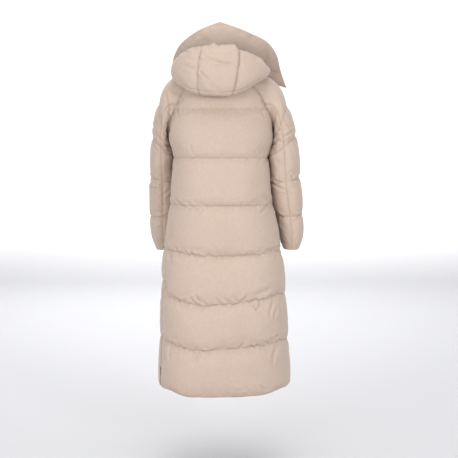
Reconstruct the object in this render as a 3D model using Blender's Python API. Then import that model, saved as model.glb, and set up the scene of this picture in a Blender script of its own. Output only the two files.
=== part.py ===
"""Long puffer coat, as worn: hollow and upright, arms hanging, collar open, hood down the back.

Metres, +Z up. The front faces -Y and the wearer's left is +X. The origin is at the middle of the neck
opening, level with the back of the neck seam, where the shoulders carry the coat.

Every quilted piece is a wall with a plain inside. Its outside stands off by the stitched thickness at
stitch lines and seams, and by the fill between them. Angles around the body are in degrees: 0 at the
wearer's left side, 90 at the back, 180 at the right side and -90 at the front.
"""
import math

import bmesh
import bpy
import numpy as np

SEAM_GAP = 0.0003  # between pieces that are sewn together
DRAWN_IN = 0.62  # of that gap, on each side, with some to spare where a seam curves
STITCHED = 0.0032  # a quilted wall at a stitch line
BODY_FILL = 0.0165  # height of the fill over the stitched wall, at the back and front
SIDE_FILL = 0.0085  # the same at the sides, under the arms
SLEEVE_FILL = 0.0105
COLLAR_FILL = 0.0100
HOOD_FILL = 0.0100
EDGE_ROLL = 0.020  # width over which the fill rises beside a seam or an edge
FOLD_ROLL = 0.55  # how much slower it rises from a seam that lies in a fold
ROUNDNESS = 0.87  # 1 makes the body's sections ellipses, less makes them squarer

HEM = -1.261
LINES = (HEM, -1.084, -0.911, -0.732, -0.541, -0.360, -0.176, 0.0)  # the quilt lines, hem and neck
LINE_KEPT = (0.0, 0.06, 0.06, 0.10, 0.24, 0.34, 0.42, 0.0)  # share of the fill that stays at each of them
YOKE = LINES[-2]
UNDERARM = -0.290
NECK_SIDE = -0.030  # height of the neck seam at the shoulder
NECK_BACK_RISE = 0.030
NECK_FRONT_DROP = 0.047

VENT_TOP = -0.905  # the side zips run from here down to the hem
ZIP_HALF = 0.0050  # half of the strip of zip that shows between two edges
FRONT_SLIDER = -0.330
FRONT_OPEN = 0.050  # half of the opening at the neck, above the front slider
SIDE_SLIDER = -1.195
VENT_OPEN = 0.012  # half of the opening at the hem, below a side slider
VENT_REACH = 9.0  # degrees to each side of a side seam in which a panel's edge lies
VENT_STEPS = 181
TAPE_SHOWS = ZIP_HALF - 0.00015  # from a panel's edge to the tape's own edge at the middle of the zip
TAPE_UNDER = 0.010  # how far a tape lies under its panel
TAPE_SUNK = 0.0004  # from a panel's inside to the tape's face
TAPE_THICK = 0.0010

BACK_COLUMNS = 20
FRONT_COLUMNS = 10
CHANNEL_ROWS = (0.0, 0.13, 0.37, 0.63, 0.87)
UNDERARM_CHANNEL_ROWS = (0.0, 0.14, (UNDERARM - LINES[5]) / (LINES[6] - LINES[5]), 0.62, 0.86)
NECK_ARC = 6  # columns of a sleeve along the neck seam
NECK_START = 0.42  # where a sleeve's armhole loop reaches the neck seam, as a share of the loop


def table(names, *rows):
    """A table of sections as named columns, with the first one rising."""
    columns = np.array(sorted(rows), float).T
    return dict(zip(names.split(), columns))


BODY = table(
    "height middle half_width back front",
    (0.000, 0.000, 0.100, 0.098, 0.066),
    (-0.030, 0.000, 0.122, 0.107, 0.080),
    (-0.077, 0.000, 0.160, 0.124, 0.108),
    (-0.120, 0.000, 0.184, 0.138, 0.130),
    (-0.176, 0.000, 0.197, 0.153, 0.152),
    (-0.240, 0.000, 0.203, 0.165, 0.168),
    (-0.290, 0.000, 0.204, 0.170, 0.175),
    (-0.325, 0.000, 0.193, 0.173, 0.178),
    (-0.400, 0.000, 0.192, 0.177, 0.181),
    (-0.480, 0.000, 0.196, 0.180, 0.183),
    (-0.541, -0.002, 0.206, 0.182, 0.184),
    (-0.600, -0.004, 0.215, 0.184, 0.186),
    (-0.732, -0.006, 0.2345, 0.190, 0.190),
    (-0.911, -0.009, 0.249, 0.199, 0.197),
    (-1.084, -0.011, 0.257, 0.206, 0.203),
    (HEM, -0.012, 0.266, 0.213, 0.209),
)
SHIFT_ANGLES = (14.0, 34.0, 60.0, 75.0, 90.0, 120.0, 150.0, 180.0)
LINE_SHIFT = table(  # how far the quilt lines hang from level, at those angles around the back
    "level a14 a34 a60 a75 a90 a120 a150 a180",
    (HEM, 0.002, 0.002, -0.014, -0.012, -0.010, -0.008, 0.006, 0.006),
    (LINES[1], 0.020, 0.012, -0.005, -0.009, -0.001, 0.008, 0.018, 0.012),
    (LINES[2], 0.070, 0.014, -0.002, -0.011, -0.004, 0.010, 0.024, 0.014),
    (LINES[3], 0.018, 0.014, 0.005, 0.001, 0.000, 0.004, 0.012, 0.014),
    (LINES[4], 0.000, 0.000, 0.000, 0.000, 0.000, 0.000, 0.000, 0.000),
    (LINES[5], 0.000, 0.000, 0.000, 0.000, 0.000, 0.000, 0.000, 0.000),
    (0.0, 0.000, 0.000, 0.000, 0.000, 0.000, 0.000, 0.000, 0.000),
)
SHIFT_FADE = (15.0, 60.0)  # degrees in front of the side between which that fades
TWIST = table(  # how far the side seams are turned, the left one to the back and the right one to the front
    "level degrees",
    (HEM, 12.0),
    (LINES[1], 11.0),
    (LINES[2], 9.0),
    (LINES[3], 4.0),
    (LINES[4], 0.0),
    (LINES[5], 0.0),
    (0.0, 0.0),
)
RAGLAN = table(
    "level back front",
    (UNDERARM, 0.0, 0.0),
    (-0.250, 6.0, 8.0),
    (-0.205, 14.0, 17.0),
    (-0.160, 25.0, 28.0),
    (-0.110, 36.0, 37.0),
    (-0.055, 46.0, 43.0),
    (0.000, 52.0, 46.0),
)
SLEEVE_LINES = (0.0, 0.27, 0.43, 0.61, 0.79, 1.0)
SLEEVE_KEPT = (0.0, 0.25, 0.20, 0.20, 0.20, 0.0)
ARMHOLE_DEEP = 0.118  # half of a sleeve's first ellipse, front to back
EVEN_BY = 0.34  # how far along a sleeve its columns have come to lie evenly around it
ARMHOLE_FADE = 0.42  # how far along a sleeve the armhole's own shape has faded out
FOLD_BY = 0.34  # how far along the underarm's fold keeps the fill thin
NORMAL_PASSES = 3
WAVES = 8  # waves around the armhole that its shape is read as
WAVE_FADE = 2.2  # how much sooner the shorter waves fade
MISSED_FADE = 0.03  # how far along the rest of its shape fades
SLEEVE_ROWS = (0.0, 0.02, 0.045, 0.075, 0.11, 0.16, 0.22)
REAR_SEAM_LEVEL = 4  # rows of the body from the underarm up to where a sleeve's seams start
SLEEVE_NAMES = "along over_out over_height under_out under_height forward half_depth"
RIGHT_SLEEVE = table(
    SLEEVE_NAMES,
    (0.06, 0.150, -0.036, 0.2180, -0.289, 0.000, 0.128),
    (0.12, 0.190, -0.053, 0.2195, -0.300, 0.002, 0.122),
    (0.20, 0.230, -0.090, 0.2100, -0.318, 0.008, 0.114),
    (0.27, 0.256, -0.145, 0.2040, -0.322, 0.010, 0.105),
    (0.35, 0.281, -0.210, 0.1985, -0.341, 0.010, 0.097),
    (0.43, 0.296, -0.270, 0.1910, -0.368, 0.008, 0.091),
    (0.52, 0.309, -0.355, 0.1865, -0.414, 0.008, 0.086),
    (0.61, 0.315, -0.440, 0.1895, -0.464, 0.012, 0.082),
    (0.70, 0.324, -0.520, 0.1985, -0.525, 0.018, 0.078),
    (0.79, 0.328, -0.588, 0.2120, -0.590, 0.025, 0.073),
    (0.90, 0.329, -0.660, 0.2280, -0.662, 0.032, 0.066),
    (1.00, 0.316, -0.726, 0.2390, -0.722, 0.036, 0.052),
)
LEFT_SLEEVE = table(
    SLEEVE_NAMES,
    (0.06, 0.149, -0.036, 0.2190, -0.289, 0.002, 0.128),
    (0.12, 0.187, -0.053, 0.2200, -0.299, 0.008, 0.120),
    (0.20, 0.222, -0.092, 0.2140, -0.312, 0.020, 0.110),
    (0.27, 0.243, -0.145, 0.2080, -0.323, 0.034, 0.100),
    (0.35, 0.262, -0.210, 0.2020, -0.342, 0.052, 0.092),
    (0.43, 0.273, -0.270, 0.1940, -0.368, 0.070, 0.086),
    (0.52, 0.284, -0.355, 0.1860, -0.414, 0.090, 0.080),
    (0.61, 0.291, -0.440, 0.1750, -0.464, 0.110, 0.076),
    (0.70, 0.292, -0.525, 0.1750, -0.530, 0.125, 0.073),
    (0.79, 0.293, -0.600, 0.1790, -0.600, 0.136, 0.069),
    (0.90, 0.288, -0.672, 0.1850, -0.672, 0.146, 0.063),
    (1.00, 0.274, -0.738, 0.1960, -0.734, 0.152, 0.050),
)

COLLAR_ROWS = (0.0, 0.07, 0.25, 0.5, 0.75, 0.93, 1.0)
COLLAR_NAMES = "around out forward height"
COLLAR_RISE = (0.085, 0.052)  # how far it first stands straight up, at the back and at the front edges
COLLAR_LEAN = (0.022, 0.010)  # how far it leans out over that rise
RIGHT_COLLAR = table(
    COLLAR_NAMES,
    (0.00, -0.004, -0.130, 0.152),
    (0.18, 0.058, -0.121, 0.133),
    (0.35, 0.114, -0.090, 0.113),
    (0.52, 0.180, -0.040, 0.084),
    (0.68, 0.219, 0.018, 0.038),
    (0.84, 0.237, 0.070, -0.020),
    (1.00, 0.262, 0.118, -0.082),
)
LEFT_COLLAR = table(
    COLLAR_NAMES,
    (0.00, 0.004, -0.130, 0.152),
    (0.18, 0.058, -0.120, 0.133),
    (0.35, 0.104, -0.092, 0.112),
    (0.52, 0.156, -0.042, 0.076),
    (0.68, 0.184, 0.020, 0.034),
    (0.84, 0.196, 0.085, -0.016),
    (1.00, 0.196, 0.152, -0.070),
)
COLLAR_HALF = 0.36  # length of the collar from its back to a front edge
COLLAR_STITCH = 0.84  # a line of stitches beside each front edge, as a share from the back to the edge

HOOD_END = 94.0  # degrees either side of the back
HOOD_COLUMNS = (8, 9, 8)  # the side panels' and the middle panel's
HOOD_ROWS = (0.0, 0.05, 0.16, 0.28, 0.40, 0.48, 0.56, 0.65, 0.75, 0.86, 0.96, 1.0)
HOOD_POINTS = (0.0, 0.20, 0.40, 0.50, 0.60, 0.78, 1.0)  # where the columns below lie, from neck to rim
HOOD_FOOT = 0.10  # how far up the collar the hood is sewn on, as a share of the collar
HOOD = table(
    "turn r1 z1 r2 z2 r3 z3 r4 z4 r5 z5 r6 z6",
    (0.0, 0.142, -0.028, 0.168, -0.086, 0.190, -0.114, 0.214, -0.104, 0.218, -0.032, 0.178, 0.060),
    (30.0, 0.145, -0.026, 0.170, -0.080, 0.190, -0.105, 0.210, -0.094, 0.212, -0.026, 0.180, 0.051),
    (60.0, 0.146, -0.014, 0.166, -0.041, 0.182, -0.055, 0.197, -0.047, 0.199, -0.011, 0.184, 0.022),
    (85.0, 0.145, -0.010, 0.158, -0.016, 0.166, -0.020, 0.171, -0.018, 0.170, -0.009, 0.166, -0.001),
    (112.0, 0.138, -0.014, 0.146, -0.018, 0.152, -0.021, 0.157, -0.018, 0.159, -0.012, 0.158, -0.004),
)
HOOD_RAISED = table(  # how much higher the pouch hangs on its right side
    "turn raised",
    (-112.0, 0.000),
    (-62.0, 0.005),
    (-33.0, 0.013),
    (-8.0, 0.002),
    (0.0, 0.000),
    (112.0, 0.000),
)
RAISED_POINTS = (0.0, 0.0, 1.0, 1.0, 1.0, 0.3, 0.0)
HOOD_DROP = 0.020  # how much lower the rim hangs on the right
HOOD_SEAMS = ((-22.0, -11.0), (22.0, 22.5))  # degrees at the rim and at the bottom

SLIDER = (0.0086, 0.0120, 0.0022)  # across, along and thick
SLIDER_LIFT = 0.0003  # from the tapes' face to the slider
SLIDER_ENDS = np.array((-0.5, 0.5)) * SLIDER[1]
BRIDGE = (0.0018, 0.0090, 0.0046)
BRIDGE_BAR = 0.0013
PULL = (0.0062, 0.0300, 0.0015)
PULL_BAR = 0.0014
PULL_WINDOW = (0.0034, 0.0056)
PULL_CENTRE = 0.0016  # the pull's axis above the slider's face

PANELS = (
    ("back", "back", 1, BACK_COLUMNS),
    ("front_left", "front", 1, FRONT_COLUMNS),
    ("front_right", "front", -1, FRONT_COLUMNS),
)

BEIGE = (0.66, 0.545, 0.455)
TAPE_BROWN = (0.13, 0.085, 0.06)
BRONZE = (0.36, 0.27, 0.20)


def through(at, places, values):
    """Smooth curve through values at rising places, read at any array of places."""
    at = np.asarray(at, float)
    step = np.diff(places)
    slope = np.diff(values) / step
    inner = (slope[:-1] * step[1:] + slope[1:] * step[:-1]) / (step[:-1] + step[1:])
    slopes = np.concatenate((slope[:1], inner, slope[-1:]))
    k = np.clip(np.searchsorted(places, at, side="right") - 1, 0, len(step) - 1)
    t = np.clip((at - places[k]) / step[k], 0.0, 1.0)
    rise = t * t * (3.0 - 2.0 * t)
    start = t * (1.0 - t) ** 2
    end = t * t * (t - 1.0)
    return (
        values[k] * (1.0 - rise)
        + values[k + 1] * rise
        + step[k] * (slopes[k] * start + slopes[k + 1] * end)
    )


def read(rows, name, at):
    """One column of a table at any place of its first column."""
    places = next(iter(rows.values()))
    return through(at, places, rows[name])


def unit(vectors):
    return vectors / np.maximum(np.linalg.norm(vectors, axis=-1, keepdims=True), 1e-12)


def stack(x, y, z):
    return np.stack(np.broadcast_arrays(x, y, z), axis=-1)


def arch(share):
    """Height of the fill across a channel, 0 at both stitch lines and 1 at the crown, fuller low down."""
    share = np.clip(share, 0.0, 1.0) ** 0.88
    return (1.0 - np.abs(2.0 * share - 1.0) ** 2.3) ** 0.7


def quilted(at, lines, kept):
    """Height of the fill across the channels, with the share of it that is kept at each stitch line."""
    return 1.0 - (1.0 - arch(channels(at, lines))) * (1.0 - np.interp(at, lines, kept))


def beside(distance):
    """Height of the fill at a distance from a seam, from 0 on the seam to 1."""
    return 1.0 - np.exp(-np.maximum(distance, 0.0) / (0.5 * EDGE_ROLL))


def narrow(width):
    """How much of its full fill a channel takes where it is that wide."""
    return 1.0 - np.exp(-width / 0.07)


def channels(at, lines):
    """Share of the way across the channel that holds each place."""
    lines = np.asarray(lines)
    k = np.clip(np.searchsorted(lines, at, side="right") - 1, 0, len(lines) - 2)
    return (at - lines[k]) / (lines[k + 1] - lines[k])


def normals(surface, first, second, turn):
    """Unit normals of a surface of two parameters, by small steps in each."""
    small = 1e-4
    along = surface(first + small, second) - surface(first - small, second)
    across = surface(first, second + small) - surface(first, second - small)
    return turn * unit(np.cross(along, across))


# Body

def line_shift(angle, level):
    """How far a row hangs from level at an angle: as the table says at the back, fading out in front."""
    angle, level = np.broadcast_arrays(np.asarray(angle, float), np.asarray(level, float))
    side = np.where(np.cos(np.radians(angle)) > 0.0, 0.0, 180.0)
    at_back = np.sin(np.radians(angle)) >= 0.0
    places = np.array(SHIFT_ANGLES)
    turn = np.clip(np.where(at_back, np.mod(angle, 360.0), side), places[0], places[-1])
    values = np.stack([read(LINE_SHIFT, f"a{place:.0f}", level) for place in places])
    k = np.clip(np.searchsorted(places, turn, side="right") - 1, 0, len(places) - 2)
    t = np.clip((turn - places[k]) / (places[k + 1] - places[k]), 0.0, 1.0)
    low = np.take_along_axis(values, k[None], axis=0)[0]
    high = np.take_along_axis(values, k[None] + 1, axis=0)[0]
    before_side = np.degrees(np.arcsin(np.clip(-np.sin(np.radians(angle)), 0.0, 1.0)))
    fade = np.clip((SHIFT_FADE[1] - before_side) / (SHIFT_FADE[1] - SHIFT_FADE[0]), 0.0, 1.0)
    return (low + t * t * (3.0 - 2.0 * t) * (high - low)) * fade


def row_height(angle, level):
    """Height of a row at an angle: near its level up to the yoke line, then rising to the slanted neck seam."""
    up = np.sin(np.radians(angle))
    neck = NECK_SIDE + np.where(up > 0.0, NECK_BACK_RISE, NECK_FRONT_DROP) * up
    share = (level - YOKE) / (0.0 - YOKE)
    return np.where(level > YOKE, YOKE + share * (neck - YOKE), level + line_shift(angle, level))


def body_fill(angle):
    return SIDE_FILL + (BODY_FILL - SIDE_FILL) * np.abs(np.sin(np.radians(angle))) ** 1.5


def body_inside(angle, level):
    """The plain inside of the body at an angle around it and a row's level."""
    height = row_height(angle, level)
    wall = STITCHED + body_fill(angle)
    c = np.cos(np.radians(angle))
    s = np.sin(np.radians(angle))
    wide = read(BODY, "half_width", height) - wall
    deep = np.where(s > 0.0, read(BODY, "back", height), read(BODY, "front", height)) - wall
    x = read(BODY, "middle", height) + wide * np.sign(c) * np.abs(c) ** ROUNDNESS
    y = deep * np.sign(s) * np.abs(s) ** ROUNDNESS
    return stack(x, y, height)


def body_normals(angle, level):
    return normals(body_inside, angle, level, 1.0)


def body_levels():
    """The rows of the body, hem to neck, with each quilt line and the underarm among them."""
    levels = []
    for k, (low, high) in enumerate(zip(LINES, LINES[1:])):
        shares = UNDERARM_CHANNEL_ROWS if k == 5 else CHANNEL_ROWS
        levels += [low + share * (high - low) for share in shares]
    return np.array(levels + [LINES[-1]])


def vent_half(level):
    """Half of the opening between the back's and a front's edge at a side zip, 0 above it."""
    shut = np.where(level < VENT_TOP + 1e-6, ZIP_HALF, 0.0)
    below = np.clip((SIDE_SLIDER - level) / (SIDE_SLIDER - HEM), 0.0, 1.0)
    return shut + below ** 1.3 * (VENT_OPEN - ZIP_HALF)


def front_half(level):
    """Half of the opening between the two fronts' edges."""
    above = np.clip((level - FRONT_SLIDER) / (0.0 - FRONT_SLIDER), 0.0, 1.0)
    return ZIP_HALF + above ** 1.4 * (FRONT_OPEN - ZIP_HALF)


def angle_for(distance, half_size):
    """Degrees from the side, or from the front, at which a section is that far from its own axis."""
    return np.degrees(np.arcsin(np.clip(distance / half_size, 0.0, 1.0) ** (1.0 / ROUNDNESS)))


def around_from(seam, level, distance):
    """Degrees past a seam at which the body's inside is that far around from it."""
    reach = np.sign(distance)[:, None] * np.linspace(0.0, VENT_REACH, VENT_STEPS)
    points = body_inside(seam[:, None] + reach, level[:, None])
    run = run_across(points)
    return np.array([np.interp(abs(far), row, steps) for far, row, steps in zip(distance, run, reach)])


def side_angle(level, face, side):
    """The angle of a panel's edge at a side of the body: side seam, side zip, then raglan seam."""
    levels, back_to = np.unique(level, return_inverse=True)
    seam = read(TWIST, "degrees", levels) + (0.0 if side > 0 else 180.0)
    way = side if face == "back" else -side
    vent = seam + around_from(seam, levels, way * np.maximum(vent_half(levels), 1e-9))
    raglan = read(RAGLAN, face, np.maximum(levels, UNDERARM)) * (1.0 if face == "back" else -1.0)
    edge = np.where(levels > UNDERARM, raglan if side > 0 else 180.0 - raglan, vent)
    return edge[back_to].reshape(np.shape(level))


def panel_angles(level, share, face, side):
    """Angles of a panel's columns. A share of 0 is its edge at the left side, or at the side it is on."""
    edge = side_angle(level, face, side)
    if face == "back":
        return edge + share * (side_angle(level, face, -side) - edge)
    wide = read(BODY, "half_width", row_height(-90.0, level)) - STITCHED - BODY_FILL
    middle = -90.0 + angle_for(front_half(level), wide)
    return edge + share * ((middle if side > 0 else 180.0 - middle) - edge)


def body_grid(face, side, columns):
    """The levels, inside, directions and fill of a panel of the body."""
    levels = body_levels()
    share, level = np.meshgrid(np.linspace(0.0, 1.0, columns + 1), levels)
    angle = panel_angles(level, share, face, side)
    inside = body_inside(angle, level)
    out = body_normals(angle, level)
    raglan = levels >= UNDERARM - 1e-6
    for column, end in ((0, 1 if face == "back" else side), (-1, -1)):
        if face == "back" or column == 0:
            out[raglan, column] = raglan_rims(end, face, levels[raglan])
    out[-1] = neck_rims(angle[-1])
    run = run_across(inside)
    fill = body_fill(angle) * quilted(level, LINES, LINE_KEPT) * beside(run) * beside(run[:, -1:] - run)
    return levels, inside, out, fill


def run_across(points):
    """Distance of each point of a grid from its first column, along its row."""
    steps = np.linalg.norm(np.diff(points, axis=1), axis=2)
    return np.concatenate((np.zeros((len(points), 1)), np.cumsum(steps, axis=1)), axis=1)


def run_along(points):
    """Distance of each point of a grid from its first row, along its column."""
    return run_across(points.swapaxes(0, 1)).swapaxes(0, 1)


# Sleeves

def loop(side, k):
    """The loop of a sleeve's armhole, where k goes from the underarm up the back and down the front."""
    rise = NECK_START
    up_back = np.clip(k / rise, 0.0, 1.0)
    down_front = np.clip((1.0 - k) / rise, 0.0, 1.0)
    level = UNDERARM + (0.0 - UNDERARM) * np.where(k < 0.5, up_back, down_front)
    back = read(RAGLAN, "back", level)
    front = read(RAGLAN, "front", level)
    round_neck = np.clip((k - rise) / (1.0 - 2.0 * rise), 0.0, 1.0)
    turned = np.where(k < rise, back, np.where(k > 1.0 - rise, -front, back + round_neck * (-front - back)))
    return body_inside(turned if side > 0 else 180.0 - turned, level)


def ring(side, along, turn):
    """A sleeve's plain section as an ellipse: turn is 0 at the underarm and pi over the shoulder."""
    rows = LEFT_SLEEVE if side > 0 else RIGHT_SLEEVE
    first = along < rows["along"][0]
    share = np.clip(along / rows["along"][0], 0.0, 1.0)
    wall_thick = STITCHED + SLEEVE_FILL
    back = -read(rows, "forward", along)
    over = stack(side * read(rows, "over_out", along), back, read(rows, "over_height", along))
    under = stack(side * read(rows, "under_out", along), back, read(rows, "under_height", along))
    inward = unit(over - under) * wall_thick
    over = over - inward
    under = under + inward
    deep = read(rows, "half_depth", along) - wall_thick
    seam_over = loop(side, np.array(0.5))
    seam_under = loop(side, np.array(0.0))
    bend = share[..., None]
    over = np.where(first[..., None], seam_over + bend * (over - seam_over), over)
    under = np.where(first[..., None], seam_under + bend * (under - seam_under), under)
    deep = np.where(first, ARMHOLE_DEEP + share * (deep - ARMHOLE_DEEP), deep)
    middle = 0.5 * (over + under)
    half = 0.5 * (over - under)
    return middle - half * np.cos(turn)[..., None] + stack(0.0, deep * np.sin(turn), 0.0)


def loop_turn(side, k):
    """The turn of the ellipse that each place of the armhole's loop lies nearest to."""
    seam_over = loop(side, np.array(0.5))
    seam_under = loop(side, np.array(0.0))
    middle = 0.5 * (seam_over + seam_under)
    half = 0.5 * (seam_over - seam_under)
    away = loop(side, k) - middle
    cosine = -(away @ half) / (half @ half)
    sine = away[..., 1] / ARMHOLE_DEEP
    turn = np.arctan2(sine, cosine)
    return np.where(turn < -1e-9, turn + 2.0 * math.pi, turn)


def even_turn(side, k):
    """The turn of each column further down the arm, where the columns lie evenly between the two seams."""
    columns = sleeve_columns()
    last = len(columns) - 1
    seams = np.array((0, REAR_SEAM_LEVEL, last - REAR_SEAM_LEVEL, last), float)
    evened = np.interp(np.arange(last + 1.0), seams, np.radians((0.0, 90.0, 270.0, 360.0)))
    return through(k, columns, evened)


def armhole_shape(side):
    """How the armhole's loop differs from the sleeve's first ellipse, as waves around it."""
    k = np.linspace(0.0, 1.0, 16 * WAVES + 1)
    turn = loop_turn(side, k[1:-1])
    around = np.radians(np.arange(8 * WAVES) * 360.0 / (8 * WAVES))
    differs = loop(side, k[1:-1]) - ring(side, np.zeros_like(turn), turn)
    order = np.argsort(turn)
    even = [np.interp(around, turn[order], column, period=2.0 * math.pi) for column in differs[order].T]
    return np.fft.rfft(np.stack(even), axis=1)[:, :WAVES] / len(around)


def sleeve_inside(side, along, k):
    """The plain inside of a sleeve, from the armhole's loop into the tube of the arm."""
    k = np.mod(k, 1.0)
    share = np.clip(along / EVEN_BY, 0.0, 1.0)
    even = share * share * (3.0 - 2.0 * share)
    first_turn = loop_turn(side, k)
    first_turn = np.where((k < 0.25) & (first_turn > math.pi), first_turn - 2.0 * math.pi, first_turn)
    turn = first_turn + even * (even_turn(side, k) - first_turn)
    shape = armhole_shape(side)

    def placed(down, kept, at):
        point = ring(side, down, at)
        for wave in range(WAVES):
            spun = np.exp(1j * wave * at) * (1.0 if wave == 0 else 2.0)
            fading = kept * np.exp(-wave * WAVE_FADE * down)
            point = point + np.real(shape[:, wave] * spun[..., None]) * fading[..., None]
        return point

    share = np.clip(along / ARMHOLE_FADE, 0.0, 1.0)
    kept = 1.0 - share * share * (3.0 - 2.0 * share)
    none = np.zeros_like(along)
    missed = loop(side, k) - placed(none, none + 1.0, first_turn)
    return placed(along, kept, turn) + missed * np.exp(-along / MISSED_FADE)[..., None]


def sleeve_normals(side, along, k):
    """Unit normals of a sleeve's inside, away from the arm."""
    small = 2e-3
    base = np.maximum(along, 0.0)
    forward = sleeve_inside(side, base + small, k) - sleeve_inside(side, base, k)
    around = sleeve_inside(side, base, k + small) - sleeve_inside(side, base, k - small)
    return side * unit(np.cross(around, forward))


def raglan_rims(side, face, level):
    """Direction of the cut edge that the body and a sleeve share along the raglan seam."""
    k = NECK_START * (level - UNDERARM) / (0.0 - UNDERARM)
    k = k if face == "back" else 1.0 - k
    edge = read(RAGLAN, face, level) * (1.0 if face == "back" else -1.0)
    angle = edge if side > 0 else 180.0 - edge
    shared = unit(body_normals(angle, level) + sleeve_normals(side, np.zeros_like(level), k))
    return shared


def sleeve_columns():
    """The columns of a sleeve, from the underarm round to it again. They meet the body's rows."""
    levels = body_levels()
    levels = levels[levels >= UNDERARM - 1e-6]
    rise = NECK_START * (levels - UNDERARM) / (0.0 - UNDERARM)
    neck = np.linspace(NECK_START, 1.0 - NECK_START, NECK_ARC + 1)[1:-1]
    return np.concatenate((rise, neck, 1.0 - rise[::-1]))


def sleeve_rows():
    rows = list(SLEEVE_ROWS)
    for low, high in zip(SLEEVE_LINES[1:], SLEEVE_LINES[2:]):
        rows += [low + share * (high - low) for share in (0.0, 0.15, 0.5, 0.85)]
    return np.array(rows + [1.0])


def sleeve_grid(side, columns, rows):
    """A sleeve's inside over all its columns, with the directions its wall grows in, evened out."""
    k, along = np.meshgrid(columns, rows)
    inside = sleeve_inside(side, along, k)
    out = sleeve_normals(side, along, k)
    for _ in range(NORMAL_PASSES):
        beside_each = np.roll(out[:, :-1], 1, axis=1) + np.roll(out[:, :-1], -1, axis=1)
        beside_each = np.concatenate((beside_each, beside_each[:, :1]), axis=1)
        out[1:-1] = unit(2.0 * out[1:-1] + beside_each[1:-1] + out[:-2] + out[2:])
        out[-1] = unit(out[-1] + out[-2])
    out[0] = armhole_rims(side, columns)
    return inside, out


def sleeve_fill(side, inside, columns, rows):
    """Height of the fill over a piece of a sleeve, thin where the underarm folds it."""
    run = run_across(inside)
    under = np.cos(math.pi * columns) ** 2
    folded = np.clip(1.0 - rows / FOLD_BY, 0.0, 1.0)[:, None] * under[None, :] ** 3
    fill = SLEEVE_FILL * quilted(rows, SLEEVE_LINES, SLEEVE_KEPT)[:, None]
    fill = fill * beside(run) * beside(run[:, -1:] - run)
    for low, high in zip(SLEEVE_LINES, SLEEVE_LINES[1:]):
        there = (rows >= low) & (rows <= high)
        lengths = np.linalg.norm(np.diff(inside[there], axis=0), axis=2).sum(axis=0)
        fill[there] *= narrow(lengths)[None, :]
    return fill * (1.0 - folded) * beside(FOLD_ROLL * run_along(inside))


def sleeve_piece(name, side, columns, rows, inside, out, material):
    fill = sleeve_fill(side, inside, columns, rows)
    return wall(name, inside, inside + out * (STITCHED + fill)[..., None], material)


def sleeve(side, word, material):
    """A sleeve's two pieces, which meet along a seam at its rear and one at its front."""
    columns = sleeve_columns()
    rows = sleeve_rows()
    inside, out = sleeve_grid(side, columns, rows)
    rear = REAR_SEAM_LEVEL
    fore = len(columns) - 1 - rear
    top = slice(rear, fore + 1)
    sleeve_piece(f"top_sleeve_{word}", side, columns[top], rows, inside[:, top], out[:, top], material)
    under = np.concatenate((columns[fore:] - 1.0, columns[1:rear + 1]))
    inside = np.concatenate((inside[:, fore:], inside[:, 1:rear + 1]), axis=1)
    out = np.concatenate((out[:, fore:], out[:, 1:rear + 1]), axis=1)
    sleeve_piece(f"under_sleeve_{word}", side, under, rows, inside, out, material)


def armhole_rims(side, columns):
    """Directions of a sleeve's first edge: along the raglan seams, and round the neck."""
    rims = []
    for k in np.mod(columns, 1.0):
        if NECK_START - 1e-6 <= k <= 1.0 - NECK_START + 1e-6:
            share = (k - NECK_START) / (1.0 - 2.0 * NECK_START)
            back = RAGLAN["back"][-1]
            front = RAGLAN["front"][-1]
            angle = back + share * (-front - back)
            rims.append(neck_rims(np.array([angle if side > 0 else 180.0 - angle]))[0])
        else:
            face = "back" if k < 0.5 else "front"
            level = UNDERARM + (0.0 - UNDERARM) * min(k, 1.0 - k) / NECK_START
            rims.append(raglan_rims(side, face, np.array([level]))[0])
    return np.array(rims)


# Collar

def collar_end():
    """Degrees past the side where the front edges meet the neck seam."""
    return -float(panel_angles(np.array(0.0), np.array(1.0), "front", 1))


def collar_angle(around):
    """Angle of the neck seam under a place of the collar: around is 0 at the back, 1 at the left end."""
    return 90.0 - around * (90.0 + collar_end())


def collar_columns():
    """The columns of the collar, right end to left end, over those of the pieces below the neck seam."""
    back = panel_angles(0.0, np.linspace(0.0, 1.0, BACK_COLUMNS + 1), "back", 1)
    front = panel_angles(0.0, np.linspace(0.0, 1.0, FRONT_COLUMNS + 1), "front", 1)
    shoulder = np.linspace(back[0], front[0], NECK_ARC + 1)[1:-1]
    half = np.concatenate((back[back <= 90.0 + 1e-6][::-1], shoulder, front))
    half = (90.0 - half) / (90.0 + collar_end())
    return np.concatenate((-half[::-1], half[1:]))


def collar_outside(around, up, inside, out):
    """The fill side of the collar over a grid of its inside."""
    edge = collar_inside(around, np.ones_like(up))
    high = np.linalg.norm(edge - collar_inside(around, np.zeros_like(up)), axis=-1)
    to_end = (1.0 - np.abs(around)) * COLLAR_HALF
    stitch = beside(np.abs(np.abs(around) - COLLAR_STITCH) * COLLAR_HALF)
    fill = COLLAR_FILL * beside(FOLD_ROLL * up * high) * beside((1.0 - up) * high) * beside(to_end) * stitch
    return inside + out * (STITCHED + fill)[..., None]


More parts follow.
